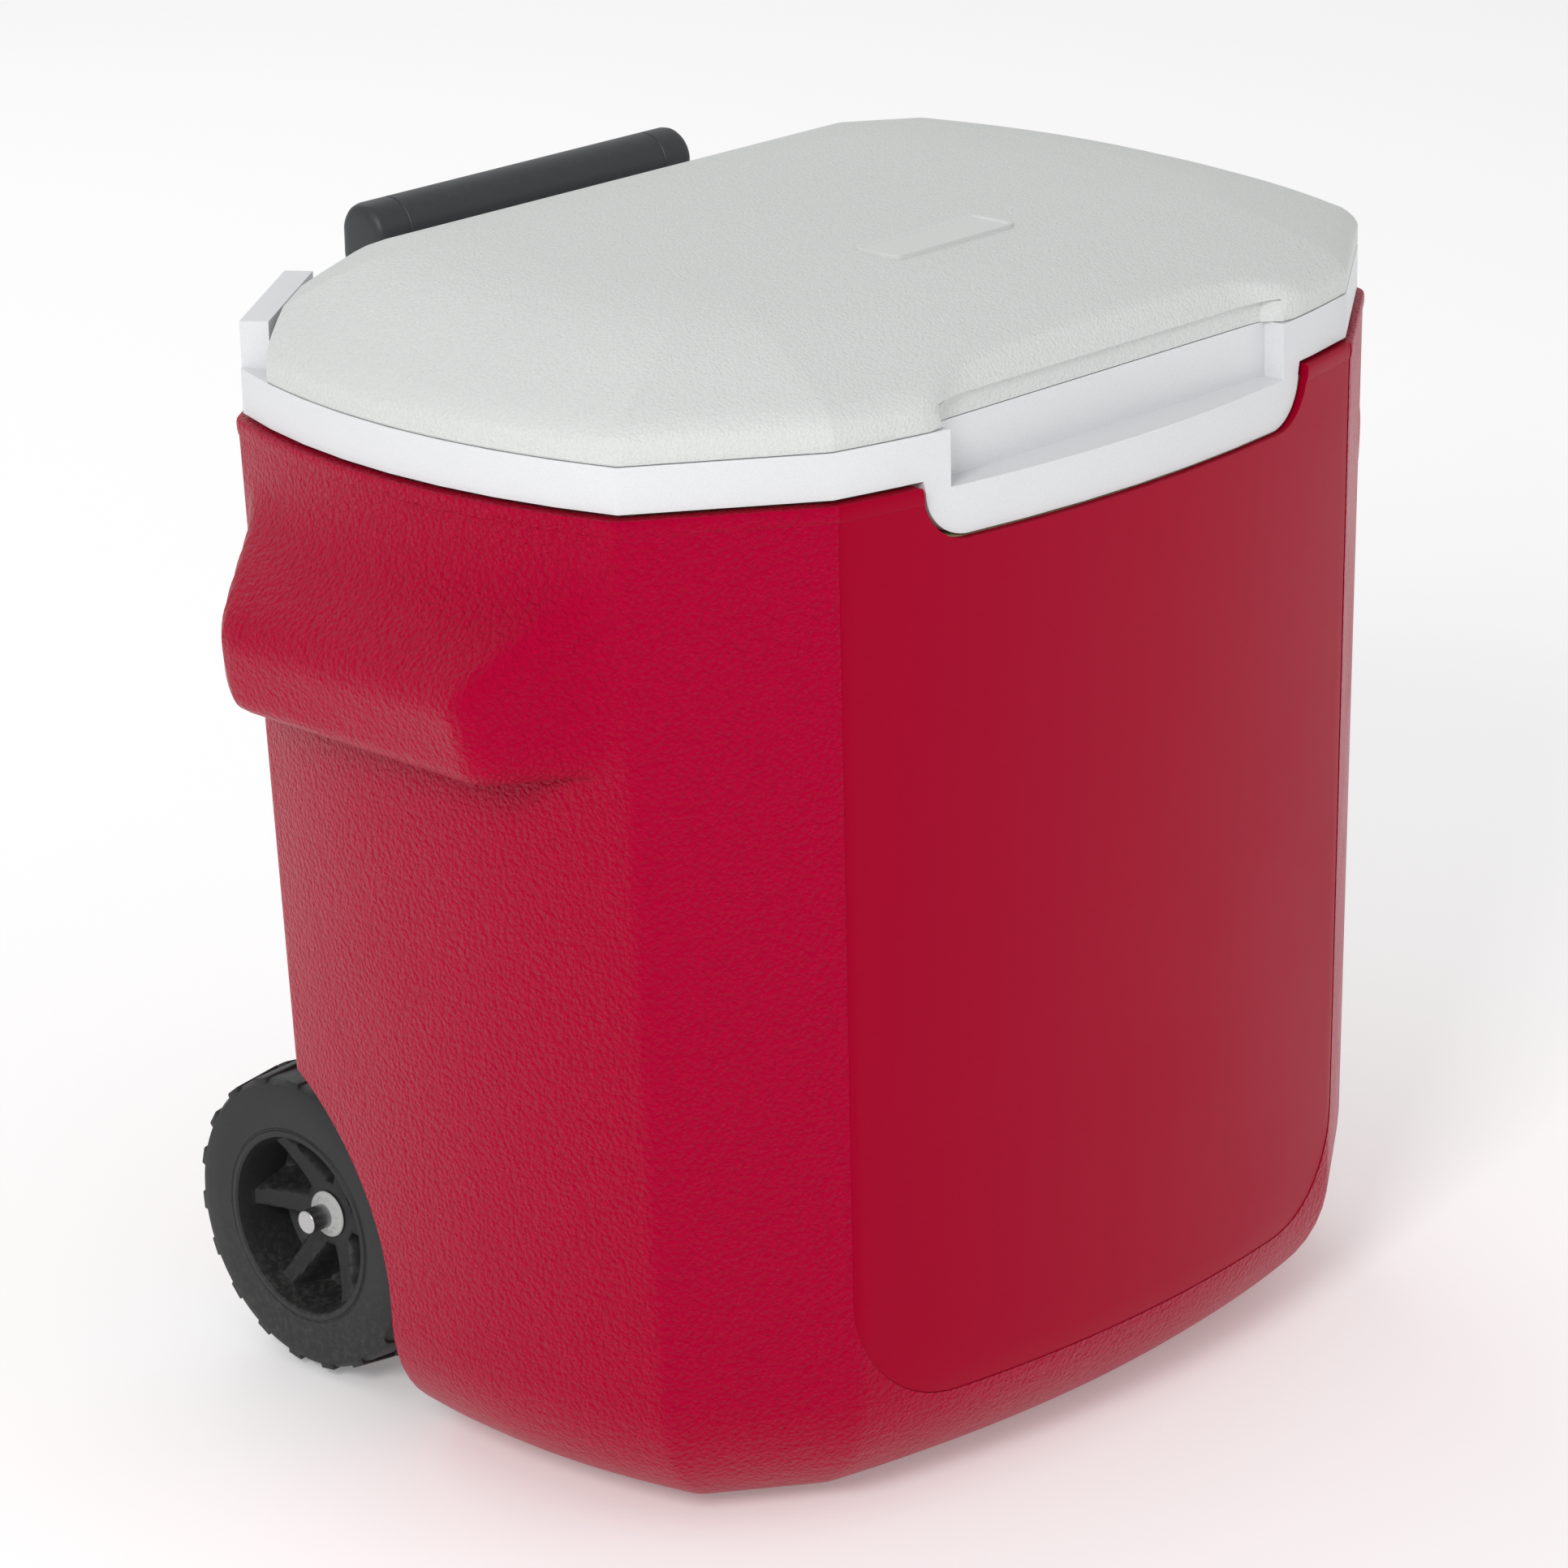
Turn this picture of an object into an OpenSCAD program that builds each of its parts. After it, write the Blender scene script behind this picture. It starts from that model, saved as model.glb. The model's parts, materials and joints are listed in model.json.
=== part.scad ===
// Wheeled cooler chest: insulated tub, hinged lid, two-stage pull handle and two wheels.
// +Z is up, -Y is the front, the origin is on the floor under the middle of the tub.

/* [Tub outline] */
// Height of the top edge of the outer shell
shell_h = 330; // [280:1:400]
// Half width at the side corners
half_w = 168; // [150:1:210]
// Half depth at the front and back corners
half_d = 120; // [105:1:150]
// Distance of the side corners from the middle, front to back
side_corner_y = 82.5; // [70:0.5:88]
// Distance of the front and back corners from the middle, side to side
front_corner_x = 116; // [105:1:125]
// How far the side bows out between its corners
side_bow = 14.5; // [4:0.5:24]
// How far the front bows out between its corners
front_bow = 15; // [4:0.5:24]
// Slope of the sides and the back, inward per unit of depth
wall_draft = 0.03; // [0.01:0.005:0.05]
// Slope of the front
front_draft = 0.005; // [0:0.005:0.03]
// Radius where the walls turn into the base
base_round = 46.5; // [40:0.5:60]

/* [Walls] */
// Thickness of the outer shell
shell_wall = 3; // [2:0.5:4]
// Thickness of the liner
liner_wall = 2.5; // [2:0.5:3.5]
// Distance from the shell's outside to the liner's outside
insulation = 22; // [20:1:28]

/* [Rim] */
// Height of the liner's rim above the outer shell
rim_h = 14; // [12:1:20]
// How far the rim stands back from the shell's shoulder
rim_back = 2; // [1:0.5:3]
// Half width of the front tab at its top
tab_half_w = 88; // [80:1:96]
// How far the front tab hangs below the rim
tab_drop = 18.5; // [14:0.5:24]
// Half width of the finger recess in the tab
recess_half_w = 75; // [60:1:78]
// Depth of the finger recess
recess_depth = 14; // [10:1:16]
// Height of the hinge ears above the rim
ear_h = 14.5; // [13:0.5:18]
// Thickness of the hinge ears
ear_t = 9; // [7:0.5:11]

/* [Lid] */
// Height of the lid above the rim
lid_h = 30; // [27:1:36]
// Thickness of the lid's skin
lid_wall = 2.5; // [2:0.5:3]
// Depth of the lid's plug in the tub
plug_depth = 12; // [8:1:18]
// Hinge pin radius
hinge_pin_r = 3; // [2.5:0.25:3.5]
// Height of the hinge axis above the rim
hinge_up = 8; // [7.5:0.5:9]
// Distance of the hinge axis in front of the tub's back
hinge_in = 20; // [19:0.5:24]

/* [Side handles] */
// How far a side handle stands out of the shell's side corner line
pod_out = 38; // [34:1:44]
// Half length of a side handle along its outer edge
pod_half_l = 50; // [42:1:56]
// Height of a side handle's upper crease
pod_top_z = 306; // [260:1:310]
// Height of a side handle from its lip to its upper crease
pod_h = 57; // [50:1:64]

/* [Wheels] */
// Wheel radius
wheel_r = 51; // [44:1:56]
// Wheel width
wheel_w = 34; // [28:1:38]
// Distance of a wheel's outer face from the middle
wheel_face_x = 150; // [146:1:156]
// Radius of the hub's dish
dish_r = 29.5; // [26:0.5:32]
// Axle radius
axle_r = 4; // [3:0.5:5]
// Distance of the axle behind the middle
axle_y = 95; // [92:1:98]
// Gap between wheel and floor
wheel_lift = 1; // [0.5:0.5:2]
// Number of tread lugs
lug_count = 24; // [16:1:30]

/* [Pull handle] */
// Half distance between the two tubes
tube_x = 50; // [44:1:54]
// Distance of the tubes behind the middle
tube_y = 134; // [132:1:140]
// Radius of the fixed tubes
outer_r = 10; // [9.5:0.5:11]
// Wall of the tubes
tube_wall = 1.2; // [1:0.1:1.4]
// Gap between one tube and the next
tube_gap = 1; // [0.8:0.1:1.2]
// Half length of the grip
grip_half_l = 70; // [66:1:76]
// Height of the grip's top edge
grip_top_z = 368; // [362:1:376]
// Height of the grip bar
grip_h = 26; // [22:1:30]
// Depth of the grip bar
grip_d = 20; // [18:1:22]

/* [Fits] */
// Radial clearance of what turns or slides
running = 0.06; // [0.03:0.01:0.1]
// Gap between neighbours that are not a fit
gap = 0.3; // [0.2:0.05:0.6]

/* [Hidden] */
$fn = 48;

red = "#b00030";
white = "#e6e7e8";
lid_grey = "#d0d2d0";
black = "#2c2e2e";
steel = "#b8bbbd";
foam_yellow = "#e8dca8";

// rim, lid and hinge heights
rim_top = shell_h + rim_h;
seat_gap = gap;
hinge_z = rim_top + hinge_up;
hinge_y = half_d - hinge_in;
knuckle_r = hinge_up - seat_gap;
lid_back = hinge_in - knuckle_r;

// direction of the corner chamfers, as the unit normal in plan
chamfer_run = half_w - front_corner_x;
chamfer_rise = half_d - side_corner_y;
chamfer_len = norm([chamfer_run, chamfer_rise]);
nx = chamfer_rise / chamfer_len;
ny = chamfer_run / chamfer_len;
chamfer_angle = atan2(chamfer_rise, chamfer_run);
chamfer_reach = nx * half_w + ny * side_corner_y;

// hinge knuckles of the lid stop short of the ears, the lid's corners swing past them in an arc,
// and the pins run out through them
ear_gap = 1;
ear_swing = 2.8;
knuckle_x1 = (chamfer_reach - ear_t - rim_back - ear_gap - ny * (hinge_y + knuckle_r)) / nx;
knuckle_x0 = knuckle_x1 - 16;
pin_end_x = (chamfer_reach - rim_back - ny * hinge_y) / nx + 2;

// wheels and their wells
axle_z = wheel_r + wheel_lift;
well_gap = 8;
well_r = wheel_r + well_gap;
wheel_in_x = wheel_face_x - wheel_w;
washer_t = 1.5;
well_x = wheel_in_x - washer_t - 2 * gap;
hub_face_x = wheel_face_x - 13.5;
nut_t = 2.2;
axle_half_l = hub_face_x + gap + nut_t + 7.5;

// tubes of the pull handle, from the floor up
middle_r = outer_r - tube_wall - tube_gap;
inner_r = middle_r - tube_wall - tube_gap;
tube_foot_z = 70;
tube_step_z = 4;
collar_over = 4;
plug_l = 16;
grip_gap = 21;
grip_foot_z = grip_top_z - grip_h;
yoke_top_z = grip_foot_z - grip_gap;
yoke_h = 8;
yoke_foot_z = yoke_top_z - yoke_h;
outer_top_z = yoke_foot_z - gap - collar_over;
middle_top_z = yoke_top_z - 4;
bracket_h = 26;
upper_bracket_z = outer_top_z - collar_over - bracket_h - 4;
lower_bracket_z = tube_foot_z - 4;
bracket_half_w = tube_x + outer_r + 5;
bracket_plate = 5;
pad_y = half_d + 1;
screw_x = 26;
screw_r = 2;
head_r = 4;

/* ---- outlines ---- */

// points of an arc of half chord h and rise s, from end to end, without its last point
function bow(h, s, n) =
    let (r = (h * h + s * s) / (2 * s), half = asin(h / r))
    [for (i = [0 : n - 1]) let (a = half * (2 * i / n - 1)) [r * sin(a), r * cos(a) - r + s]];

// plan of the tub, moved in by ts at the sides, tf at the front, tb at the back and
// by cf and cb at the front and back chamfers
function plan(ts, tf, tb, cf, cb) =
    let (
        xs = half_w - ts,
        y_fs = -(side_corner_y + (nx * ts - cf) / ny),
        y_bs = side_corner_y + (nx * ts - cb) / ny,
        x_f = front_corner_x + (ny * tf - cf) / nx,
        x_b = front_corner_x + (ny * tb - cb) / nx,
        mid = (y_fs + y_bs) / 2,
        hs = (y_bs - y_fs) / 2,
        rise_s = side_bow * pow(hs / side_corner_y, 2),
        rise_f = front_bow * pow(x_f / front_corner_x, 2)
    )
    concat(
        [for (p = bow(x_f, rise_f, 10)) [p.x, -half_d + tf - p.y]],
        [[x_f, -half_d + tf]],
        [for (p = bow(hs, rise_s, 8)) [xs + p.y, mid + p.x]],
        [[xs, y_bs], [x_b, half_d - tb], [-x_b, half_d - tb]],
        [for (p = bow(hs, rise_s, 8)) [-xs - p.y, mid - p.x]],
        [[-xs, y_fs]]
    );

function even_plan(t) = plan(t, t, t, t, t);

// plan of the tub at height z, t inside its outer face, with the walls' slopes
function tub_plan(z, t) =
    let (down = shell_h - z, s = wall_draft * down, f = front_draft * down)
    plan(t + s, t + f, t + s, t + (s + f) / 2.4, t + s * 1.15);

// a solid through a list of outlines, each with its height
module loft(rings) {
    n = len(rings[0]);
    m = len(rings);
    quads = [for (k = [0 : m - 2], i = [0 : n - 1])
        let (j = (i + 1) % n, a = k * n, b = a + n)
        each [[a + i, b + i, b + j], [a + i, b + j, a + j]]];
    foot = [for (i = [0 : n - 1]) i];
    top = [for (i = [n - 1 : -1 : 0]) (m - 1) * n + i];
    polyhedron(points = [for (r = rings) each r], faces = concat([foot], quads, [top]));
}

function lift(points, z) = [for (p = points) [p.x, p.y, z]];

// the tub's form, t inside its outer face, up to z_top
module tub(t, z_top, shoulder = 0) {
    r = max(base_round - t, 8);
    steps = 7;
    low = [for (i = [0 : steps])
        let (a = 90 * i / steps, z = t + r * (1 - cos(a)), e = r * (1 - sin(a)))
        lift(tub_plan(z, t + e), z)];
    high = shoulder > 0
        ? [lift(tub_plan(z_top - 6, t - shoulder), z_top - 6),
           lift(tub_plan(z_top - 1.5, t - shoulder * 0.6), z_top - 1.5),
           lift(tub_plan(z_top, t + 0.5), z_top)]
        : [lift(tub_plan(z_top, t), z_top)];
    loft(concat(low, high));
}

// an upright prism of the plan, t inside
module prism(t, z0, z1) {
    translate([0, 0, z0]) linear_extrude(z1 - z0) polygon(even_plan(t));
}

/* ---- features shared by shell, foam and liner ---- */

// room for the wheels in the back corners, grown by t
module wheel_wells(t) {
    r = well_r + t;
    flare = 11;
    for (side = [-1, 1]) {
        translate([side * (well_x - t), axle_y, axle_z]) rotate([0, side * 90, 0]) {
            cylinder(r = r, h = 120, $fn = 96);
            translate([0, 0, 26 + t]) cylinder(r1 = r, r2 = r + flare * 2, h = 70, $fn = 96);
        }
        translate([side > 0 ? well_x - t : -well_x + t - 120, axle_y - r, -1])
            cube([120, 2 * r + 60, axle_z + 1]);
    }
}

// groove for the axle across the back; the liner steps over all of it
module axle_groove(t, to_floor = false) {
    half = axle_r + 0.5 + t;
    foot = to_floor ? -1 : axle_z - half;
    translate([-well_x - 1, axle_y - half, foot])
        cube([2 * (well_x + 1), 100, axle_z + half - foot]);
}

// outside of the side handles, as a rounded block from the wall, t inside
module side_pods(t) {
    r = 7;
    wall_half_l = pod_half_l + 19;
    for (side = [-1, 1]) hull() {
        for (end = [-1, 1]) {
            translate([side * (half_w + pod_out - r), end * pod_half_l, pod_top_z - 31]) pod_ball(r - t);
            translate([side * (half_w + pod_out - 4 - r), end * (pod_half_l + 1), pod_top_z - pod_h + r])
                pod_ball(r - t);
            translate([side * (half_w + 1), end * (wall_half_l - r), pod_top_z - r]) pod_ball(r - t);
            translate([side * (half_w - 8), end * wall_half_l, pod_top_z - pod_h + r]) pod_ball(r - t);
        }
    }
}

module pod_ball(r) { sphere(r = r, $fn = 28); }

// finger room under the side handles, grown by t
module finger_room(t) {
    lip = 7;
    z0 = pod_top_z - pod_h;
    x1 = half_w + pod_out - 4 - lip + t;
    x_wall = half_w + side_bow - wall_draft * (shell_h - z0) + 0.5;
    x0 = x_wall - 6 - t;
    half_l = pod_half_l - 6 + t;
    for (side = [-1, 1])
        translate([0, half_l, 0]) rotate([90, 0, 0]) linear_extrude(2 * half_l)
            polygon([for (p = [[x_wall, z0 - 14], [x_wall, z0 + 1], [x0, z0 + 10 - t], [x0, z0 + 34 + t],
                [x0 + 7, z0 + 34 + t], [x1, z0 + 20 + t], [x1, z0 - 14]]) [side * p.x, p.y]]);
}

// the front tab's outline in elevation, grown by t
module tab_shape(t) {
    r = 15;
    top_w = tab_half_w + t;
    low_w = tab_half_w - 4 + t;
    foot = shell_h - tab_drop - t;
    rotate([90, 0, 0]) linear_extrude(2 * half_d) union() {
        polygon([[-top_w, rim_top], [-low_w, foot + r], [low_w, foot + r], [top_w, rim_top]]);
        translate([-low_w + r, foot]) square([2 * (low_w - r), r + 1]);
        for (side = [-1, 1]) translate([side * (low_w - r), foot + r]) circle(r, $fn = 64);
    }
}

/* ---- tub ---- */

module outer_shell() {
    color(red) difference() {
        union() {
            difference() {
                union() {
                    tub(0, shell_h, rim_back);
                    side_pods(0);
                }
                tub_cuts(0);
            }
            back_pads();
        }
        difference() {
            union() {
                tub(shell_wall, shell_h + 1);
                side_pods(shell_wall);
            }
            tub_cuts(shell_wall);
        }
        tab_shape(1);
    }
}

module tub_cuts(t) {
    finger_room(t);
    wheel_wells(t);
    axle_groove(t);
}

// flat seats for the brackets on the sloping back wall
module back_pads() {
    for (z = [upper_bracket_z, lower_bracket_z])
        translate([-bracket_half_w + 4, half_d - 14, z + 2])
            cube([2 * bracket_half_w - 8, pad_y - half_d + 14, bracket_h - 4]);
}

module foam_core() {
    air = 0.25;
    out = shell_wall + air;
    color(foam_yellow) difference() {
        union() {
            tub(out, shell_h - 3);
            side_pods(out);
            prism(rim_back + liner_wall + 1.5, shell_h - 4, rim_top - liner_wall - air);
        }
        tub_cuts(out);
        foam_pad_room();
        difference() {
            tub(insulation - air, rim_top + 1);
            liner_cuts(insulation - air);
        }
        intersection() {
            tab_shape(1);
            front_band(-1, recess_depth + liner_wall + 1);
        }
    }
}

// the pads' backs reach into the wall's space
module foam_pad_room() {
    for (z = [upper_bracket_z, lower_bracket_z])
        translate([-bracket_half_w + 3, half_d - 15, z + 1])
            cube([2 * bracket_half_w - 6, 30, bracket_h - 2]);
}

// the stretch of the front between two depths behind the rim's face
module front_band(t0, t1) {
    difference() {
        prism(rim_back + t0, shell_h - tab_drop - 5, rim_top + 1);
        prism(rim_back + t1, shell_h - tab_drop - 6, rim_top + 2);
        translate([-half_w * 2, -side_corner_y, 0]) cube([half_w * 4, half_d * 4, rim_top * 2]);
    }
}

module liner_cuts(t) {
    wheel_wells(t);
    axle_groove(t, true);
}

module liner() {
    inner = insulation + liner_wall;
    color(white) difference() {
        union() {
            difference() {
                tub(insulation, rim_top - 1);
                liner_cuts(insulation);
            }
            prism(rim_back, rim_top - liner_wall, rim_top);
            difference() {
                prism(rim_back, shell_h, rim_top);
                prism(rim_back + liner_wall, shell_h - 1, rim_top + 1);
            }
            front_tab();
            hinge_ears();
        }
        difference() {
            tub(inner, rim_top + 1);
            liner_cuts(inner);
        }
        finger_recess(0);
        for (side = [-1, 1]) pin_at(side, hinge_pin_r);
    }
}

module front_tab() {
    intersection() {
        tab_shape(0);
        front_band(0, 7);
    }
    intersection() {
        finger_recess(liner_wall);
        front_band(0, recess_depth + liner_wall);
        translate([-half_w, -half_d * 2, 0]) cube([2 * half_w, half_d * 2, rim_top]);
    }
}

// hollow for the fingers in the tab, grown by t
module finger_recess(t) {
    foot = shell_h - 3.5 - t;
    w = recess_half_w + t;
    back = -half_d - front_bow + rim_back + recess_depth + t;
    translate([-w, -half_d * 2, foot]) cube([2 * w, half_d * 2 + back, rim_h + 20]);
}

// raised walls of the rim along the back chamfers, which hold the hinge pins
module hinge_ears() {
    ear_top = rim_top + ear_h;
    intersection() {
        prism(rim_back, rim_top - liner_wall, ear_top);
        union() for (side = [-1, 1])
            ear_slab(side, ear_t + rim_back, 0, rim_top - liner_wall, ear_top);
    }
}

// slab along a back chamfer, from depth t0 out to past the rim, thick enough for an ear
module ear_slab(side, t0, extra, z0, z1) {
    mid_x = side * (half_w + front_corner_x) / 2;
    mid_y = (half_d + side_corner_y) / 2;
    len_half = chamfer_len / 2 - 2;
    translate([mid_x, mid_y, z0]) rotate([0, 0, -side * chamfer_angle])
        translate([-len_half - extra, -t0, 0]) cube([2 * (len_half + extra), t0 + 20, z1 - z0]);
}

module pin_at(side, r) {
    translate([side * (knuckle_x0 + 1), hinge_y, hinge_z]) rotate([0, side * 90, 0])
        cylinder(r = r, h = pin_end_x - knuckle_x0 - 1);
}

module hinge_pin_left() { color(steel) pin_at(-1, hinge_pin_r); }
module hinge_pin_right() { color(steel) pin_at(1, hinge_pin_r); }

/* ---- lid ---- */

// insets of the lid's skin at the front and sides, and at the back, over its height
lid_steps = [[0, 0, 0], [0.22, 0, 0], [0.36, 3, 0.6], [0.5, 10, 3], [0.64, 20, 7.6], [0.78, 31, 14],
    [0.9, 44, 22], [0.965, 58, 31], [1, 68, 38]];

module lid_form(t, foot) {
    h = lid_h - t;
    e = rim_back + t;
    rings = [for (s = lid_steps)
        lift(plan(e + s[1], e + s[1], lid_back + t + s[2], e + s[1], e + max(s[2], s[1] * 0.8)),
            rim_top + seat_gap + s[0] * (h - seat_gap) + (s[0] == 0 ? foot : 0))];
    loft(rings);
}

// what the lid leaves free: the ears, the hinge knuckles and the front scoop
module lid_cuts(t) {
    for (side = [-1, 1]) {
        ear_slab(side, ear_t + rim_back + ear_swing + t, 20, rim_top - 20, rim_top + lid_h + 5);
    }
    scoop(t);
}

module knuckle_room() {
    for (side = [-1, 1])
        translate([side > 0 ? knuckle_x0 - 1 : -knuckle_x0 + 1 - 60, hinge_y - knuckle_r - 1, rim_top - 20])
            cube([60, 60, 20 + lid_h + 5]);
}

// round along the lid's lower back edge, so that it turns clear of the rim
module back_edge_round() {
    r = knuckle_r;
    difference() {
        translate([-half_w, hinge_y, rim_top - 1]) cube([2 * half_w, 40, 1 + hinge_up]);
        translate([-half_w - 1, hinge_y, hinge_z]) rotate([0, 90, 0]) cylinder(r = r, h = 2 * half_w + 2);
    }
}

// front scoop of the lid over the finger recess, grown by t: a low step and a face that leans back
module scoop(t) {
    w = recess_half_w - 2 + t;
    back = -half_d - front_bow + rim_back + recess_depth + t;
    foot = rim_top - 20;
    rotate([90, 0, 90]) translate([0, 0, -w]) linear_extrude(2 * w)
        polygon([[-half_d * 2, foot], [back, foot], [back, rim_top + 6 + t], [back - 1.5, rim_top + 7.2 + t],
            [back + 4, rim_top + 18.5 + t], [back + 12, rim_top + 35 + t], [-half_d * 2, rim_top + 35 + t]]);
}

module lid_top() {
    color(lid_grey) difference() {
        lid_form(0, 0);
        difference() {
            lid_form(lid_wall, -5);
            lid_cuts(lid_wall);
        }
        lid_cuts(0);
        knuckle_room();
        back_edge_round();
    }
    color(lid_grey) name_plate();
}

// raised blank plate on the lid
module name_plate() {
    translate([-27, -60, rim_top + lid_h - 3]) cube([54, 18, 3.8]);
}

module lid_inner() {
    edge = rim_back + lid_wall + 1;
    panel_z = rim_top + seat_gap + 0.5;
    panel_t = 2.5;
    color(white) difference() {
        union() {
            difference() {
                intersection() {
                    prism(edge, panel_z, panel_z + panel_t);
                    translate([-half_w * 2, -half_d * 2, 0])
                        cube([half_w * 4, half_d * 2 + hinge_y, rim_top * 2]);
                }
                lid_cuts(lid_wall + 1);
            }
            intersection() {
                prism(insulation + liner_wall + 3, rim_top - plug_depth, panel_z + 1);
                translate([-half_w * 2, -half_d * 2, 0])
                    cube([half_w * 4, half_d * 2 + hinge_y - knuckle_r - 4, rim_top * 2]);
            }
            for (side = [-1, 1]) knuckle(side, panel_z);
        }
        intersection() {
            prism(insulation + liner_wall + 5.5, rim_top - plug_depth + 2.5, panel_z + 10);
            translate([-half_w * 2, -half_d * 2, 0])
                cube([half_w * 4, half_d * 2 + hinge_y - knuckle_r - 6.5, rim_top * 2]);
        }
        for (side = [-1, 1]) pin_at(side, hinge_pin_r + running);
    }
}

module knuckle(side, panel_z) {
    x = side > 0 ? knuckle_x0 : -knuckle_x1;
    l = knuckle_x1 - knuckle_x0;
    translate([x, hinge_y, hinge_z]) rotate([0, 90, 0]) cylinder(r = knuckle_r, h = l);
    translate([x, hinge_y - knuckle_r - 3, panel_z]) cube([l, knuckle_r + 3, 2.5 + knuckle_r / 2]);
}

module lid_foam() {
    t = lid_wall + 2 * gap;
    panel_z = rim_top + seat_gap + 0.5;
    back = hinge_y - knuckle_r - 4;
    color(foam_yellow) difference() {
        intersection() {
            lid_form(t, 0);
            translate([-half_w * 2, -half_d * 2, panel_z + 2.5 + gap])
                cube([half_w * 4, half_d * 2 + back, lid_h * 2]);
        }
        lid_cuts(t);
    }
}

/* ---- pull handle ---- */

module at_tube(side) { translate([side * tube_x, tube_y, 0]) children(); }

module tube(r, z0, z1) {
    translate([0, 0, z0]) difference() {
        cylinder(r = r, h = z1 - z0, $fn = 64);
        translate([0, 0, -1]) cylinder(r = r - tube_wall, h = z1 - z0 + 2, $fn = 64);
    }
}

module outer_tube(side) { color(steel) at_tube(side) tube(outer_r, tube_foot_z, outer_top_z); }
module middle_tube(side) {
    color(steel) at_tube(side) tube(middle_r, tube_foot_z + tube_step_z, middle_top_z);
}
module inner_tube(side) {
    color(steel) at_tube(side) tube(inner_r, tube_foot_z + 2 * tube_step_z, grip_top_z - 7);
}

// foot plug that slides in the next tube out: a sleeve round the tube and a disc under it
module foot_plug(side, r_tube, step) {
    z = tube_foot_z + step * tube_step_z;
    r_out = r_tube + tube_gap - running;
    color(black) at_tube(side) {
        difference() {
            translate([0, 0, z - 2.5]) cylinder(r = r_out, h = plug_l + 2.5, $fn = 64);
            translate([0, 0, z]) cylinder(r = r_tube, h = plug_l + 1, $fn = 64);
        }
    }
}

// cap on a tube's mouth that guides the next tube
module tube_collar(side) {
    color(black) at_tube(side) difference() {
        translate([0, 0, outer_top_z - 8]) cylinder(r = outer_r + 2.2, h = 8 + collar_over, $fn = 64);
        translate([0, 0, outer_top_z - 9]) cylinder(r = outer_r, h = 9, $fn = 64);
        translate([0, 0, outer_top_z - 1]) cylinder(r = middle_r + running, h = 10, $fn = 64);
    }
}

module middle_yoke() {
    h2 = middle_top_z - yoke_foot_z;
    color(black) difference() {
        translate([0, tube_y, yoke_foot_z]) linear_extrude(yoke_h) union() {
            square([2 * tube_x, 10], center = true);
            for (side = [-1, 1]) translate([side * tube_x, 0]) circle(middle_r + 2, $fn = 64);
        }
        for (side = [-1, 1]) at_tube(side) translate([0, 0, yoke_foot_z]) {
            translate([0, 0, -1]) cylinder(r = middle_r, h = h2 + 1, $fn = 64);
            cylinder(r = inner_r + running, h = yoke_h + 1, $fn = 64);
        }
    }
}

module handle_grip() {
    r = grip_d / 2;
    low = grip_foot_z + r - 1;
    high = grip_top_z - r;
    color(black) difference() {
        union() {
            for (z = [low, high])
                translate([-grip_half_l, tube_y, z]) rotate([0, 90, 0])
                    cylinder(r = r, h = 2 * grip_half_l, $fn = 64);
            translate([-grip_half_l, tube_y - r, low]) cube([2 * grip_half_l, grip_d, high - low]);
        }
        for (side = [-1, 1]) at_tube(side) {
            translate([0, 0, grip_foot_z - 5]) cylinder(r = inner_r, h = grip_h - 2, $fn = 64);
            translate([0, r - 3, (grip_foot_z + grip_top_z) / 2]) rotate([-90, 0, 0])
                cylinder(r = head_r + 0.2, h = 10);
        }
    }
}

module grip_screws() {
    color(steel) for (side = [-1, 1])
        at_tube(side) translate([0, grip_d / 2 - 3 + 0.1, (grip_foot_z + grip_top_z) / 2]) rotate([-90, 0, 0])
            cylinder(r = head_r, h = 2.2);
}

module bracket(z0, blind) {
    color(black) difference() {
        union() {
            translate([-bracket_half_w, pad_y, z0]) cube([2 * bracket_half_w, bracket_plate, bracket_h]);
            for (side = [-1, 1]) {
                translate([side * tube_x - outer_r - 3, pad_y, z0])
                    cube([2 * outer_r + 6, tube_y - pad_y, bracket_h]);
                at_tube(side) translate([0, 0, z0]) cylinder(r = outer_r + 3, h = bracket_h, $fn = 64);
            }
        }
        for (side = [-1, 1]) at_tube(side)
            translate([0, 0, blind ? tube_foot_z : z0 - 1]) cylinder(r = outer_r, h = 60, $fn = 64);
        bracket_holes(z0);
    }
}

module bracket_holes(z0) {
    for (side = [-1, 1], z = [z0 + 7, z0 + bracket_h - 7])
        translate([side * screw_x, half_d - 10, z]) rotate([-90, 0, 0]) cylinder(r = screw_r + 0.3, h = 30);
}

// pan-head screws that hold a bracket to the wall
module bracket_screws(z0) {
    color(steel) for (side = [-1, 1], z = [z0 + 7, z0 + bracket_h - 7])
        translate([side * screw_x, pad_y + bracket_plate, z]) rotate([-90, 0, 0]) {
            cylinder(r = head_r, h = 2.2);
            translate([0, 0, 0.5 - bracket_plate]) cylinder(r = screw_r, h = bracket_plate);
        }
}

module upper_bracket() { bracket(upper_bracket_z, false); }
module lower_bracket() { bracket(lower_bracket_z, true); }

/* ---- wheels ---- */

module axle() {
    color(steel) translate([-axle_half_l, axle_y, axle_z]) rotate([0, 90, 0])
        cylinder(r = axle_r, h = 2 * axle_half_l, $fn = 64);
}

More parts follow.
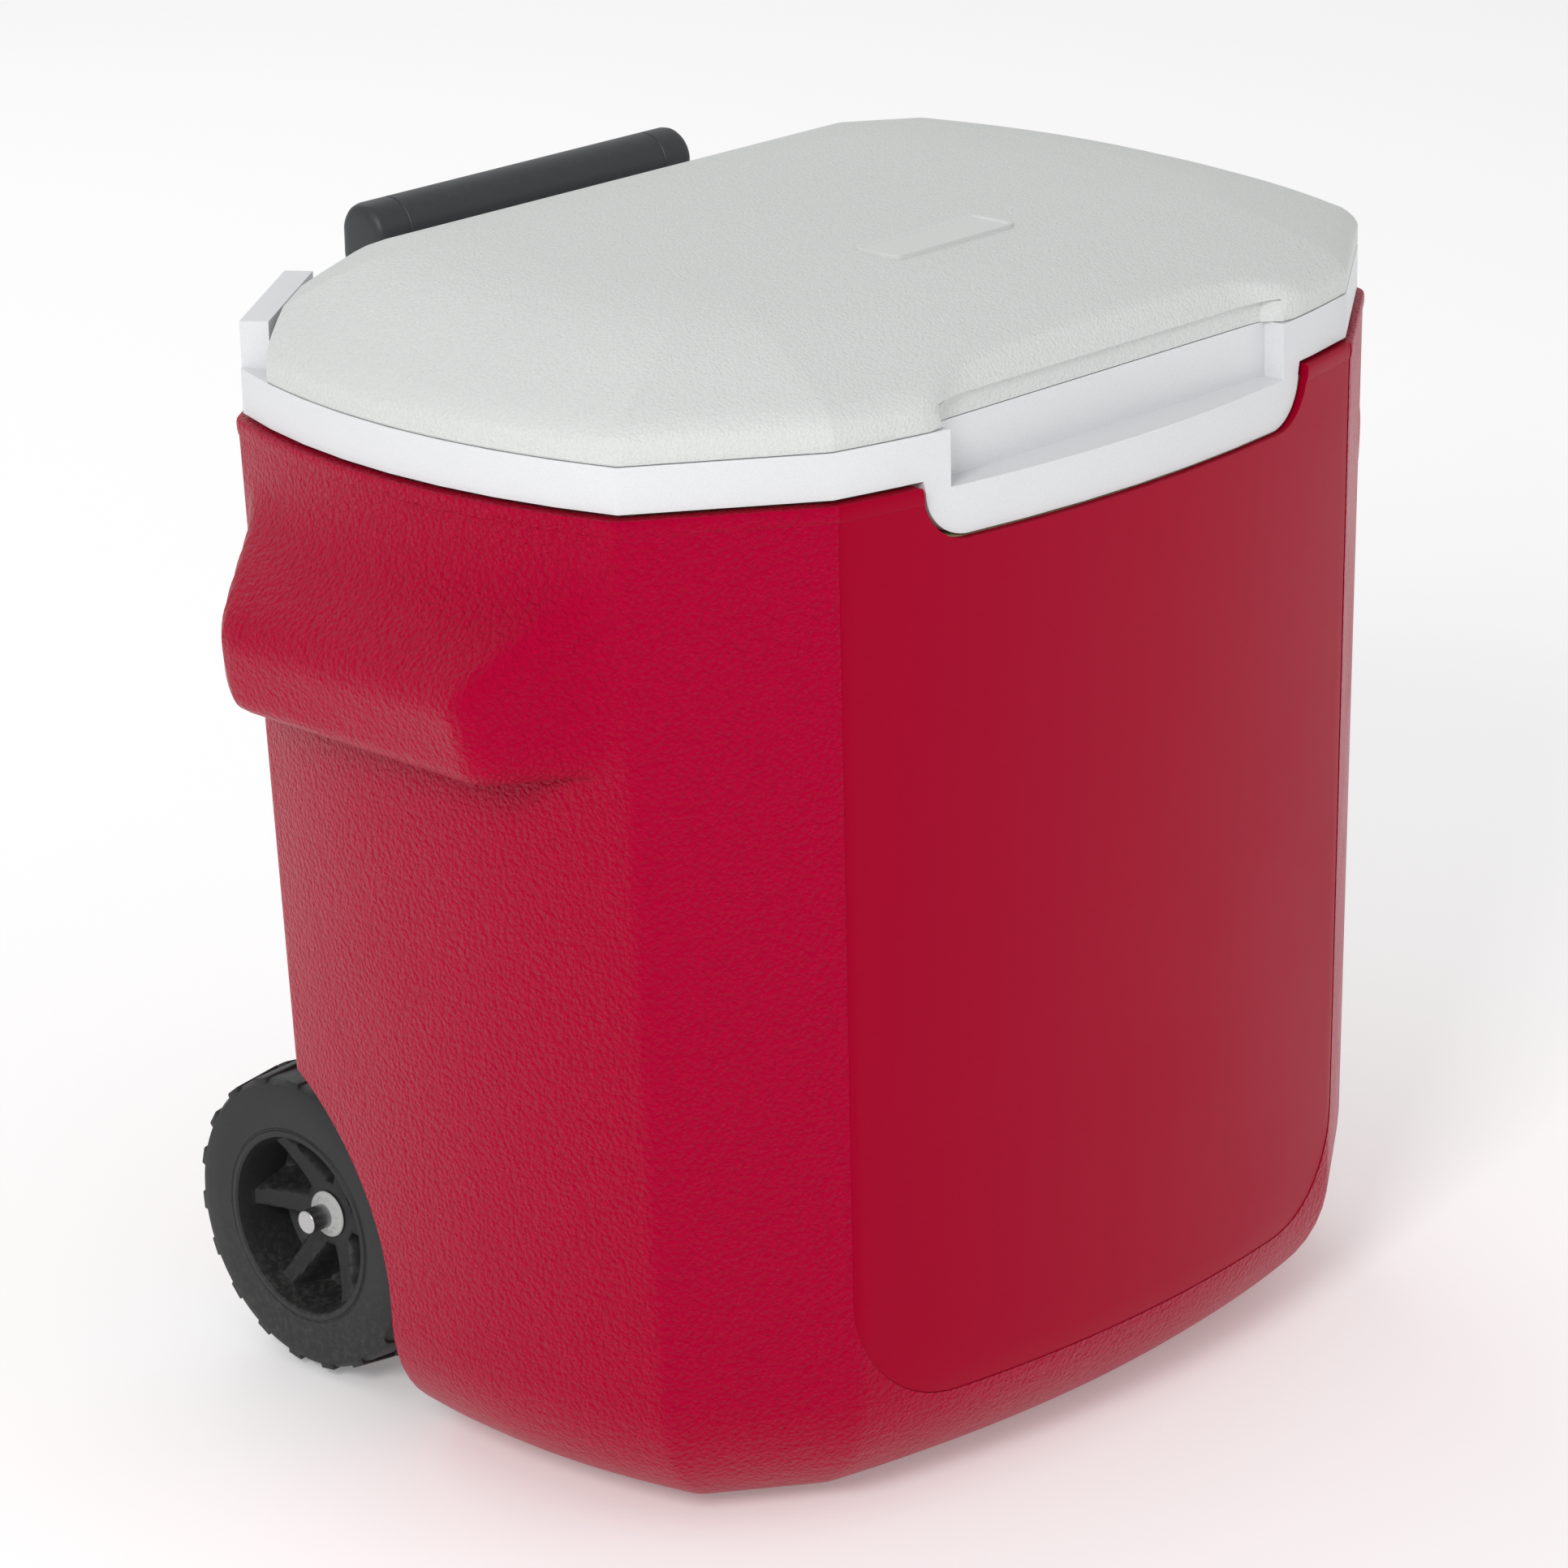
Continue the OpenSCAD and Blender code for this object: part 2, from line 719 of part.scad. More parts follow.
// saddle that closes the groove behind the axle
clip_x = 88;
clip_w = 22;
back_at_axle = half_d - wall_draft * (shell_h - axle_z);
module axle_clip(side) {
    color(black) difference() {
        union() {
            translate([side * clip_x - clip_w / 2, axle_y, axle_z - axle_r - 0.3])
                cube([clip_w, back_at_axle - axle_y + 3, 2 * axle_r + 0.6]);
            translate([side * clip_x - clip_w / 2, back_at_axle + 1, axle_z - 16])
                cube([clip_w, 3, 32]);
        }
        translate([-half_w, axle_y, axle_z]) rotate([0, 90, 0])
            cylinder(r = axle_r, h = 2 * half_w, $fn = 64);
        for (up = [-1, 1])
            translate([side * clip_x, back_at_axle, axle_z + up * 11]) rotate([-90, 0, 0])
                cylinder(r = screw_r + 0.3, h = 10);
    }
}

module clip_screws() {
    color(steel) for (side = [-1, 1], up = [-1, 1])
        translate([side * clip_x, back_at_axle + 4.1, axle_z + up * 11]) rotate([-90, 0, 0]) {
            cylinder(r = head_r - 0.8, h = 1.8);
            translate([0, 0, -2.8]) cylinder(r = screw_r, h = 4);
        }
}

// one moulding: lugged tyre, dished disc with six windows, and hub
module wheel(side) {
    lug_h = 2;
    body_r = wheel_r - lug_h;
    disc_t = 6;
    hub_r = 10.5;
    w = wheel_w;
    disc_z = w - 24;
    color(black) translate([side * wheel_in_x, axle_y, axle_z]) rotate([0, side * 90, 0]) difference() {
        union() {
            rotate_extrude($fn = 96) polygon([[dish_r - 4, 3], [body_r - 4, 0], [body_r, 5], [body_r, w - 5],
                [body_r - 4, w], [dish_r, w], [dish_r - 4, w - 8]]);
            translate([0, 0, disc_z]) cylinder(r = dish_r - 2, h = disc_t, $fn = 96);
            cylinder(r = hub_r, h = w - (wheel_face_x - hub_face_x));
            for (i = [0 : lug_count - 1]) rotate([0, 0, i * 360 / lug_count])
                translate([body_r - 1, -3.2, i % 2 == 0 ? 4 : w / 2 - 4]) cube([lug_h + 0.9, 6.4, w / 2]);
        }
        translate([0, 0, -1]) cylinder(r = axle_r + running, h = w + 2, $fn = 64);
        for (i = [0 : 5]) rotate([0, 0, i * 60 + 30])
            translate([(dish_r + hub_r) / 2 - 1.5, 0, disc_z - 1]) cylinder(r = 5, h = disc_t + 2);
    }
}

module washer(side) {
    color(steel) translate([side * (well_x + gap), axle_y, axle_z]) rotate([0, side * 90, 0]) difference() {
        cylinder(r = 9, h = washer_t);
        translate([0, 0, -1]) cylinder(r = axle_r, h = 5, $fn = 64);
    }
}

module push_nut(side) {
    color(steel) translate([side * (hub_face_x + gap), axle_y, axle_z]) rotate([0, side * 90, 0])
        difference() {
        union() {
            cylinder(r = 7.8, h = nut_t / 2);
            translate([0, 0, nut_t / 2]) cylinder(r1 = 7.8, r2 = 5.4, h = nut_t / 2);
        }
        translate([0, 0, -1]) cylinder(r = axle_r, h = 10, $fn = 64);
    }
}

outer_shell();
foam_core();
liner();
lid_top();
lid_inner();
lid_foam();
hinge_pin_left();
hinge_pin_right();
handle_grip();
grip_screws();
inner_tube(-1);  // inner_tube_left
inner_tube(1);  // inner_tube_right
foot_plug(-1, inner_r, 2);  // inner_plug_left
foot_plug(1, inner_r, 2);  // inner_plug_right
middle_tube(-1);  // middle_tube_left
middle_tube(1);  // middle_tube_right
foot_plug(-1, middle_r, 1);  // middle_plug_left
foot_plug(1, middle_r, 1);  // middle_plug_right
middle_yoke();
outer_tube(-1);  // outer_tube_left
outer_tube(1);  // outer_tube_right
tube_collar(-1);  // tube_collar_left
tube_collar(1);  // tube_collar_right
upper_bracket();
lower_bracket();
bracket_screws(upper_bracket_z);  // upper_bracket_screws
bracket_screws(lower_bracket_z);  // lower_bracket_screws
axle();
axle_clip(-1);  // axle_clip_left
axle_clip(1);  // axle_clip_right
clip_screws();
wheel(-1);  // wheel_left
wheel(1);  // wheel_right
washer(-1);  // washer_left
washer(1);  // washer_right
push_nut(-1);  // push_nut_left
push_nut(1);  // push_nut_right
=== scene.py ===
import json
import logging
import math
from dataclasses import dataclass
from enum import Enum
from typing import Callable, Iterable, Optional, Sequence

import bmesh
import bpy
from bmesh.types import BMesh, BMVert
from mathutils import Matrix, Vector


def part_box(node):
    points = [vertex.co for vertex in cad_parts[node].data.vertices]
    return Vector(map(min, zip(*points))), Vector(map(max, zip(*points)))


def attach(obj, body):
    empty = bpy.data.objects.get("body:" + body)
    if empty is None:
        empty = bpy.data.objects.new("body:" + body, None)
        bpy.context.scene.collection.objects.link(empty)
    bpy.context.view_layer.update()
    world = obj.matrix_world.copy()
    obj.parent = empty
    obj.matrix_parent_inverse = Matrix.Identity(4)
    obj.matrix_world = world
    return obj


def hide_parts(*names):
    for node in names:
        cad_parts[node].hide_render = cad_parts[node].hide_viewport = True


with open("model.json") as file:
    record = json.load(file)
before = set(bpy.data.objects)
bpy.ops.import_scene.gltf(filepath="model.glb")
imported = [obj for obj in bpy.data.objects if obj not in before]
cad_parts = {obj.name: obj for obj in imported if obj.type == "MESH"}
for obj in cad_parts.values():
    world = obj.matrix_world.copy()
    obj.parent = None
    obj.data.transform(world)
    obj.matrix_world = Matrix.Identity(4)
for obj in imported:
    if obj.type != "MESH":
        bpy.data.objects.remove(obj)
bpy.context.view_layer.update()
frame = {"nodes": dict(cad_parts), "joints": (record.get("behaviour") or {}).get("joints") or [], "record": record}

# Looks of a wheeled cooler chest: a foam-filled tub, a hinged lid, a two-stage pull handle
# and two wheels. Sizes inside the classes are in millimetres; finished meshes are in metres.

MM = 0.001
LOG = logging.getLogger("cooler")
HINGE_ABOVE_RIM = 8.0
Colour = tuple[float, float, float]
Ring = list[Vector]


# ---- small shared maths ----

def smooth_max(a: float, b: float, k: float) -> float:
    """Larger of two numbers, rounded over a width k where they meet."""
    h = max(k - abs(a - b), 0.0) / k
    return max(a, b) + h * h * k / 4


def smooth_min(a: float, b: float, k: float) -> float:
    """Smaller of two numbers, rounded over a width k where they meet."""
    return -smooth_max(-a, -b, k)


def smooth_step(low: float, high: float, value: float) -> float:
    """Eased share, from 0 at low to 1 at high."""
    t = min(max((value - low) / (high - low), 0.0), 1.0)
    return t * t * (3 - 2 * t)


def lerp(a: float, b: float, t: float) -> float:
    """Straight blend from a to b."""
    return a + (b - a) * t


def box_mm(node: str) -> tuple[Vector, Vector]:
    """Lowest and highest corner of a CAD node, in millimetres."""
    low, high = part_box(node)
    return low / MM, high / MM


def axle_centre(node: str) -> Vector:
    """Middle of a wheel or a cap from the side, in the object's middle plane."""
    low, high = box_mm(node)
    return Vector((0.0, (low.y + high.y) / 2, (low.z + high.z) / 2))


def hinge_place() -> Vector:
    """A point on the lid's hinge axis, in millimetres."""
    return Vector(frame["joints"][0]["pos_m"]) / MM


# ---- mesh helpers ----

class Shade(Enum):
    """Where a mesh turns from smooth to sharp, as the angle between faces in degrees."""
    SOFT = 60.0
    MOULDED = 32.0


def extrude_ring(bm: BMesh, loop: Sequence[BMVert], ring: Sequence[Vector]) -> list[BMVert]:
    """Extrudes an open loop of edges and puts the new loop on a ring of points.

    Args:
        bm: mesh that holds the loop.
        loop: vertices in order round the loop.
        ring: where the new vertices go.

    Returns:
        The new vertices, in the same order.
    """
    edges = [bm.edges.get((v, loop[(i + 1) % len(loop)])) for i, v in enumerate(loop)]
    made = bmesh.ops.extrude_edge_only(bm, edges=edges)["geom"]
    fresh = {v for v in made if isinstance(v, BMVert)}
    new_loop = [next(e.other_vert(v) for e in v.link_edges if e.other_vert(v) in fresh)
                for v in loop]
    for vert, point in zip(new_loop, ring):
        vert.co = point
    return new_loop


def loft(rings: Sequence[Sequence[Vector]], closed: bool = False,
         creases: Iterable[int] = (), crease_mm: float = 2.0) -> BMesh:
    """Skins a stack of rings that all have the same number of points.

    Args:
        rings: the rings, from the first end to the last.
        closed: joins the last ring to the first, for a body with a hole through it.
        creases: columns whose long edges are rounded.
        crease_mm: how far the rounding reaches to each side of a crease.

    Returns:
        A closed mesh in millimetres.
    """
    bm = bmesh.new()
    column = bm.verts.layers.int.new("column")
    start = bmesh.ops.create_circle(bm, cap_ends=False, radius=1.0, segments=len(rings[0]))
    first = list(start["verts"])
    count = len(first)
    for i, (vert, point) in enumerate(zip(first, rings[0])):
        vert.co = point
        vert[column] = i
    loop = first
    for ring in rings[1:]:
        loop = extrude_ring(bm, loop, ring)
        for i, vert in enumerate(loop):
            vert[column] = i
    ends = [[bm.edges.get((v, one[(i + 1) % count])) for i, v in enumerate(one)]
            for one in (first, loop)]
    if closed:
        bmesh.ops.bridge_loops(bm, edges=ends[0] + ends[1])
    else:
        for end in ends:
            bmesh.ops.edgeloop_fill(bm, edges=end)
    marked = set(creases)
    if marked:
        sharp = [e for e in bm.edges if e.verts[0][column] == e.verts[1][column]
                 and e.verts[0][column] in marked]
        bmesh.ops.bevel(bm, geom=sharp, offset=crease_mm, offset_type="OFFSET", segments=3,
                        profile=0.5, affect="EDGES", material=-1, clamp_overlap=True)
    bmesh.ops.recalc_face_normals(bm, faces=bm.faces)
    return bm


def prism(corners: Sequence[tuple[float, float]], low: float, high: float,
          round_mm: float = 0.0, rounded: Sequence[int] = (), segments: int = 8) -> BMesh:
    """Extrudes an upright outline from front to back.

    Args:
        corners: outline corners, each across the object and up.
        low: where the extrusion starts, along Y.
        high: where it ends.
        round_mm: radius for the rounded corners.
        rounded: which corners are rounded.
        segments: facets in each rounded corner.

    Returns:
        A closed mesh in millimetres.
    """
    bm = bmesh.new()
    verts = [bm.verts.new((across, low, up)) for across, up in corners]
    bm.faces.new(verts)
    if round_mm > 0:
        bmesh.ops.bevel(bm, geom=[verts[i] for i in rounded], offset=round_mm, segments=segments,
                        profile=0.5, affect="VERTICES", material=-1, clamp_overlap=False)
    made = bmesh.ops.extrude_face_region(bm, geom=list(bm.faces))
    moved = [g for g in made["geom"] if isinstance(g, BMVert)]
    bmesh.ops.translate(bm, verts=moved, vec=(0.0, high - low, 0.0))
    bmesh.ops.recalc_face_normals(bm, faces=bm.faces)
    return bm


def block(low: Vector, high: Vector, bevel_mm: float = 0.0, segments: int = 2) -> BMesh:
    """Makes a block, with rounded edges if asked.

    Args:
        low: its lowest corner.
        high: its highest corner.
        bevel_mm: width of the rounding.
        segments: facets in the rounding.

    Returns:
        A closed mesh in millimetres.
    """
    bm = bmesh.new()
    bmesh.ops.create_cube(bm, size=1.0)
    bmesh.ops.scale(bm, verts=bm.verts, vec=high - low)
    bmesh.ops.translate(bm, verts=bm.verts, vec=(low + high) / 2)
    if bevel_mm > 0:
        bmesh.ops.bevel(bm, geom=list(bm.edges), offset=bevel_mm, segments=segments, profile=0.5,
                        affect="EDGES", material=-1)
    return bm


def circle_ring(radius: float, at: float, count: int, centre: Vector) -> Ring:
    """Points round a line along X.

    Args:
        radius: distance from the line.
        at: place along the line, from the centre.
        count: how many points.
        centre: a point on the line.

    Returns:
        The points, in order.
    """
    points = []
    for i in range(count):
        a, b = (radius * f(2 * math.pi * i / count) for f in (math.cos, math.sin))
        points.append(centre + Vector((at, a, b)))
    return points


def mirrored(bm: BMesh) -> BMesh:
    """A copy of the shape on the other side of the object's middle plane."""
    other = bm.copy()
    bmesh.ops.scale(other, verts=other.verts, vec=(-1.0, 1.0, 1.0))
    bmesh.ops.reverse_faces(other, faces=other.faces)
    return other


def merged(parts: Iterable[BMesh]) -> BMesh:
    """Gathers separate closed shapes into one mesh.

    Args:
        parts: the shapes; they are used up.

    Returns:
        The mesh that holds them all.
    """
    whole = bmesh.new()
    for part in parts:
        mesh = bpy.data.meshes.new("part")
        part.to_mesh(mesh)
        part.free()
        whole.from_mesh(mesh)
        bpy.data.meshes.remove(mesh)
    return whole


def as_object(bm: BMesh, name: str) -> bpy.types.Object:
    """Puts a mesh into the scene as an object at the origin."""
    mesh = bpy.data.meshes.new(name)
    bm.to_mesh(mesh)
    bm.free()
    obj = bpy.data.objects.new(name, mesh)
    bpy.context.scene.collection.objects.link(obj)
    return obj


class Cut(Enum):
    """How a second solid changes the first."""
    AWAY = "DIFFERENCE"
    KEEP = "INTERSECT"


def combine(base: BMesh, other: BMesh, cut: Cut) -> BMesh:
    """Boolean of two closed meshes; both are used up.

    Args:
        base: the mesh that is changed.
        other: the mesh that changes it.
        cut: what happens where they overlap.

    Returns:
        The new mesh.
    """
    target, tool = as_object(base, "target"), as_object(other, "tool")
    modifier = target.modifiers.new("cut", "BOOLEAN")
    modifier.operation = cut.value
    modifier.solver = "EXACT"
    modifier.object = tool
    graph = bpy.context.evaluated_depsgraph_get()
    mesh = bpy.data.meshes.new_from_object(target.evaluated_get(graph))
    result = bmesh.new()
    result.from_mesh(mesh)
    for obj in (target, tool):
        old = obj.data
        bpy.data.objects.remove(obj)
        bpy.data.meshes.remove(old)
    bpy.data.meshes.remove(mesh)
    return result


def mark_sharp(bm: BMesh, shade: Shade) -> None:
    """Shades faces smooth and keeps the edges sharper than the shade's angle."""
    limit = math.radians(shade.value)
    for face in bm.faces:
        face.smooth = True
    for edge in bm.edges:
        edge.smooth = len(edge.link_faces) == 2 and edge.calc_face_angle(0.0) < limit


@dataclass(frozen=True)
class Edge:
    """Rounding that a finished piece gets on its sharp edges."""
    width_mm: float = 0.5
    segments: int = 2
    angle_deg: float = 32.0


def finish_piece(bm: BMesh, name: str, finish: "Finish", body: str, nodes: Sequence[str],
                 shade: Shade = Shade.MOULDED, edge: Optional[Edge] = None) -> bpy.types.Object:
    """Scales a mesh to metres, dresses it and ties it to its body.

    Args:
        bm: mesh in millimetres; it is used up.
        name: name of the piece.
        finish: what it is made of.
        body: body that it moves with.
        nodes: CAD nodes that it stands for.
        shade: how it is shaded.
        edge: rounding of its sharp edges.

    Returns:
        The finished object.
    """
    bmesh.ops.scale(bm, verts=bm.verts, vec=(MM, MM, MM))
    mark_sharp(bm, shade)
    obj = as_object(bm, name)
    if edge:
        bevel = obj.modifiers.new("edges", "BEVEL")
        bevel.width = edge.width_mm * MM
        bevel.segments = edge.segments
        bevel.limit_method = "ANGLE"
        bevel.angle_limit = math.radians(edge.angle_deg)
        bevel.use_clamp_overlap = True
        bevel.harden_normals = True
    obj.data.materials.append(finish.material())
    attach(obj, body)
    if nodes:
        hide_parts(*nodes)
    LOG.info("%s: %d faces on %s", name, len(obj.data.polygons), body)
    return obj


def node_shape(node: str) -> BMesh:
    """Copies a CAD node, with its doubled points and flat triangles merged.

    Args:
        node: name of the CAD node.

    Returns:
        Its mesh in millimetres.
    """
    bm = bmesh.new()
    bm.from_mesh(frame["nodes"][node].data)
    bmesh.ops.scale(bm, verts=bm.verts, vec=(1 / MM, 1 / MM, 1 / MM))
    bmesh.ops.remove_doubles(bm, verts=bm.verts, dist=0.002)
    bmesh.ops.dissolve_limit(bm, angle_limit=math.radians(0.6), verts=bm.verts, edges=bm.edges)
    bmesh.ops.dissolve_degenerate(bm, dist=0.002, edges=bm.edges)
    return bm


def refined_copy(node: str, name: str, finish: "Finish", body: str,
                 edge: Edge = Edge(), shade: Shade = Shade.MOULDED) -> bpy.types.Object:
    """A CAD node's shape with smooth curves and rounded edges."""
    return finish_piece(node_shape(node), name, finish, body, [node], shade, edge)


# ---- node wiring ----

class Wiring:
    """Adds and joins the nodes of one tree."""

    def __init__(self, tree: bpy.types.NodeTree) -> None:
        """Starts on an existing tree."""
        self.tree = tree

    def add(self, kind: str, sockets: Optional[dict] = None, **settings) -> bpy.types.Node:
        """Adds a node.

        Args:
            kind: the node's type name.
            sockets: values or source sockets by input name or number.
            **settings: plain settings of the node.

        Returns:
            The new node.
        """
        node = self.tree.nodes.new(kind)
        for key, value in settings.items():
            setattr(node, key, value)
        for key, value in (sockets or {}).items():
            if isinstance(value, bpy.types.NodeSocket):
                self.tree.links.new(value, node.inputs[key])
            else:
                node.inputs[key].default_value = value
        return node

    def math(self, operation: str, a, b=0.0, c=0.0, clamp: bool = False):
        """Output of a Math node on up to three values or sockets."""
        node = self.add("ShaderNodeMath", {0: a, 1: b, 2: c}, operation=operation,
                        use_clamp=clamp)
        return node.outputs[0]

    def ramp(self, value, low: float, high: float, to_low: float = 0.0, to_high: float = 1.0):
        """Eased Map Range from low..high to to_low..to_high."""
        node = self.add("ShaderNodeMapRange",
                        {"Value": value, "From Min": low, "From Max": high, "To Min": to_low,
                         "To Max": to_high}, interpolation_type="SMOOTHSTEP")
        return node.outputs["Result"]

    def mix(self, share, a, b):
        """Colour between a and b."""
        node = self.add("ShaderNodeMix", {0: share, 6: a, 7: b}, data_type="RGBA")
        return node.outputs[2]


def shared_group(name: str, inputs: dict[str, float], outputs: Sequence[str],
                 wire: Callable[[Wiring, bpy.types.Node, bpy.types.Node], None]
                 ) -> bpy.types.NodeTree:
    """Builds a node group once and hands it back on later calls.

    Args:
        name: name of the group.
        inputs: plain inputs with their defaults.
        outputs: names of the outputs, all plain values.
        wire: joins the group's nodes between its input and output nodes.

    Returns:
        The node group.
    """
    found = bpy.data.node_groups.get(name)
    if found:
        return found
    tree = bpy.data.node_groups.new(name, "ShaderNodeTree")
    for label, default in inputs.items():
        socket = tree.interface.new_socket(label, in_out="INPUT", socket_type="NodeSocketFloat")
        socket.default_value = default
    for label in outputs:
        tree.interface.new_socket(label, in_out="OUTPUT", socket_type="NodeSocketFloat")
    wiring = Wiring(tree)
    wire(wiring, wiring.add("NodeGroupInput"), wiring.add("NodeGroupOutput"))
    return tree


def wire_grain(w: Wiring, inside: bpy.types.Node, outside: bpy.types.Node) -> None:
    """Leather-like pebbles: rounded cells, pulled about by a finer noise."""
    place = w.add("ShaderNodeTexCoord").outputs["Object"]
    per_metre = w.math("DIVIDE", 1.0, inside.outputs["Cell"])
    drift = w.add("ShaderNodeTexNoise", {"Vector": place, "Scale": per_metre, "Detail": 2.0,
                                         "Roughness": 0.55})
    shift = w.add("ShaderNodeVectorMath", {0: drift.outputs["Color"], 1: (0.5, 0.5, 0.5)},
                  operation="SUBTRACT").outputs[0]
    scaled = w.add("ShaderNodeVectorMath", {0: shift}, operation="SCALE")
    w.tree.links.new(w.math("MULTIPLY", inside.outputs["Cell"], 0.9), scaled.inputs["Scale"])
    bent = w.add("ShaderNodeVectorMath", {0: place, 1: scaled.outputs[0]},
                 operation="ADD").outputs[0]
    cells = w.add("ShaderNodeTexVoronoi", {"Vector": bent, "Scale": per_metre,
                                           "Smoothness": 0.35}, feature="SMOOTH_F1")
    fine = w.add("ShaderNodeTexNoise", {"Vector": bent, "Detail": 3.0, "Roughness": 0.6})
    w.tree.links.new(w.math("MULTIPLY", per_metre, 1.7), fine.inputs["Scale"])
    dome = w.math("SUBTRACT", 1.0, cells.outputs["Distance"], clamp=True)
    height = w.math("MULTIPLY_ADD", fine.outputs["Fac"], 0.55, w.math("MULTIPLY", dome, 0.6))
    pits = w.ramp(height, 0.42, 0.72)
    w.tree.links.new(height, outside.inputs["Height"])
    w.tree.links.new(pits, outside.inputs["Peaks"])


def wire_wear(w: Wiring, inside: bpy.types.Node, outside: bpy.types.Node) -> None:
    """Broad smudges and sparse fine scuffs."""
    place = w.add("ShaderNodeTexCoord").outputs["Object"]
    broad = w.add("ShaderNodeTexNoise", {"Vector": place, "Scale": 14.0, "Detail": 4.0,
                                         "Roughness": 0.6})
    smudge = w.ramp(broad.outputs["Fac"], 0.35, 0.7)
    stretched = w.add("ShaderNodeMapping", {"Vector": place, "Rotation": (0.4, 0.9, 0.3),
                                            "Scale": (40.0, 900.0, 300.0)}).outputs[0]
    hair = w.add("ShaderNodeTexNoise", {"Vector": stretched, "Scale": 1.0, "Detail": 1.0})
    lines = w.ramp(hair.outputs["Fac"], 0.72, 0.8)
    patch = w.add("ShaderNodeTexNoise", {"Vector": place, "Scale": 31.0, "Detail": 1.0})
    scuff = w.math("MULTIPLY", lines, w.ramp(patch.outputs["Fac"], 0.5, 0.62))
    w.tree.links.new(w.math("MULTIPLY", smudge, inside.outputs["Smudge"]),
                     outside.inputs["Smudge"])
    w.tree.links.new(w.math("MULTIPLY", scuff, inside.outputs["Scuff"]), outside.inputs["Scuff"])


def wire_dust(w: Wiring, inside: bpy.types.Node, outside: bpy.types.Node) -> None:
    """Thin dust on upward faces and near the floor."""
    normal = w.add("ShaderNodeNewGeometry").outputs["Normal"]
    up = w.add("ShaderNodeSeparateXYZ", {0: normal}).outputs["Z"]
    place = w.add("ShaderNodeTexCoord").outputs["Object"]
    height = w.add("ShaderNodeSeparateXYZ", {0: place}).outputs["Z"]
    speck = w.add("ShaderNodeTexNoise", {"Vector": place, "Scale": 420.0, "Detail": 3.0,
                                         "Roughness": 0.7})
    lying = w.math("MULTIPLY", w.ramp(up, 0.3, 1.0), 0.5)
    low = w.ramp(height, 0.0, 0.07, 0.5, 0.0)
    amount = w.math("MULTIPLY", w.math("ADD", lying, low), w.ramp(speck.outputs["Fac"], 0.4, 0.75))
    w.tree.links.new(w.math("MULTIPLY", amount, inside.outputs["Amount"], clamp=True),
                     outside.inputs["Dust"])


@dataclass(frozen=True)
class Grain:
    """Moulded surface texture."""
    cell_mm: float
    relief_mm: float
    strength: float = 1.0
    shade: float = 0.12


@dataclass(frozen=True)
class Finish:
    """What a piece is made of, as one procedural material."""
    name: str
    slot: str
    colour: Colour
    roughness: float
    grain: Grain
    metallic: float = 0.0
    specular: float = 0.5
    tint: Colour = (1.0, 1.0, 1.0)
    smudge: float = 0.08
    scuff: float = 0.1
    dust: float = 0.1
    brushed: Optional[str] = None

    def material(self) -> bpy.types.Material:
        """The material, made on the first call."""
        found = bpy.data.materials.get(self.name)
        if found:
            return found
        material = bpy.data.materials.new(self.name)
        material.use_nodes = True
        material.node_tree.nodes.clear()
        self._wire(Wiring(material.node_tree))
        return material

    def _wire(self, w: Wiring) -> None:
        """Joins grain, wear and dust to a Principled shader."""
        grain = w.add("ShaderNodeGroup", node_tree=shared_group(
            "Pebble grain", {"Cell": 0.001}, ("Height", "Peaks"), wire_grain))
        grain.inputs["Cell"].default_value = self.grain.cell_mm * MM
        wear = w.add("ShaderNodeGroup", node_tree=shared_group(
            "Smudges and scuffs", {"Smudge": 1.0, "Scuff": 1.0}, ("Smudge", "Scuff"), wire_wear))
        wear.inputs["Smudge"].default_value = self.smudge
        wear.inputs["Scuff"].default_value = self.scuff
        dust = w.add("ShaderNodeGroup", node_tree=shared_group(
            "Dust", {"Amount": 1.0}, ("Dust",), wire_dust))
        dust.inputs["Amount"].default_value = self.dust

        height = grain.outputs["Height"]
        if self.brushed:
            height = self._brushing(w)
        colour = w.mix(grain.outputs["Peaks"], (*self._shaded(1 - self.grain.shade), 1.0),
                       (*self._shaded(1 + self.grain.shade * 0.5), 1.0))
        colour = w.mix(wear.outputs["Scuff"], colour, (*self._shaded(1.35, 0.04), 1.0))
        colour = w.mix(dust.outputs["Dust"], colour, (0.42, 0.40, 0.37, 1.0))
        rough = w.math("ADD", wear.outputs["Smudge"], self.roughness)
        rough = w.math("MULTIPLY_ADD", dust.outputs["Dust"], 0.3, rough, clamp=True)
        bump = w.add("ShaderNodeBump", {"Height": height, "Strength": self.grain.strength,
                                        "Distance": self.grain.relief_mm * MM})
        shader = w.add("ShaderNodeBsdfPrincipled", {
            "Base Color": colour, "Roughness": rough, "Normal": bump.outputs[0],
            "Metallic": self.metallic, "Specular IOR Level": self.specular,
            "Specular Tint": (*self.tint, 1.0)})
        out = w.add("ShaderNodeOutputMaterial")
        w.tree.links.new(shader.outputs[0], out.inputs["Surface"])

    def _shaded(self, factor: float, lift: float = 0.0) -> Colour:
        """The base colour made lighter or darker."""
        return tuple(min(c * factor + lift, 1.0) for c in self.colour)

    def _brushing(self, w: Wiring):
        """Fine parallel lines along one axis."""
        place = w.add("ShaderNodeTexCoord").outputs["Object"]
        fine, along = 4000.0, 30.0
        scale = {"X": (along, fine, fine), "Z": (fine, fine, along)}[self.brushed]
        stretched = w.add("ShaderNodeMapping", {"Vector": place, "Scale": scale}).outputs[0]
        return w.add("ShaderNodeTexNoise", {"Vector": stretched, "Scale": 1.0,
                                            "Detail": 2.0}).outputs["Fac"]


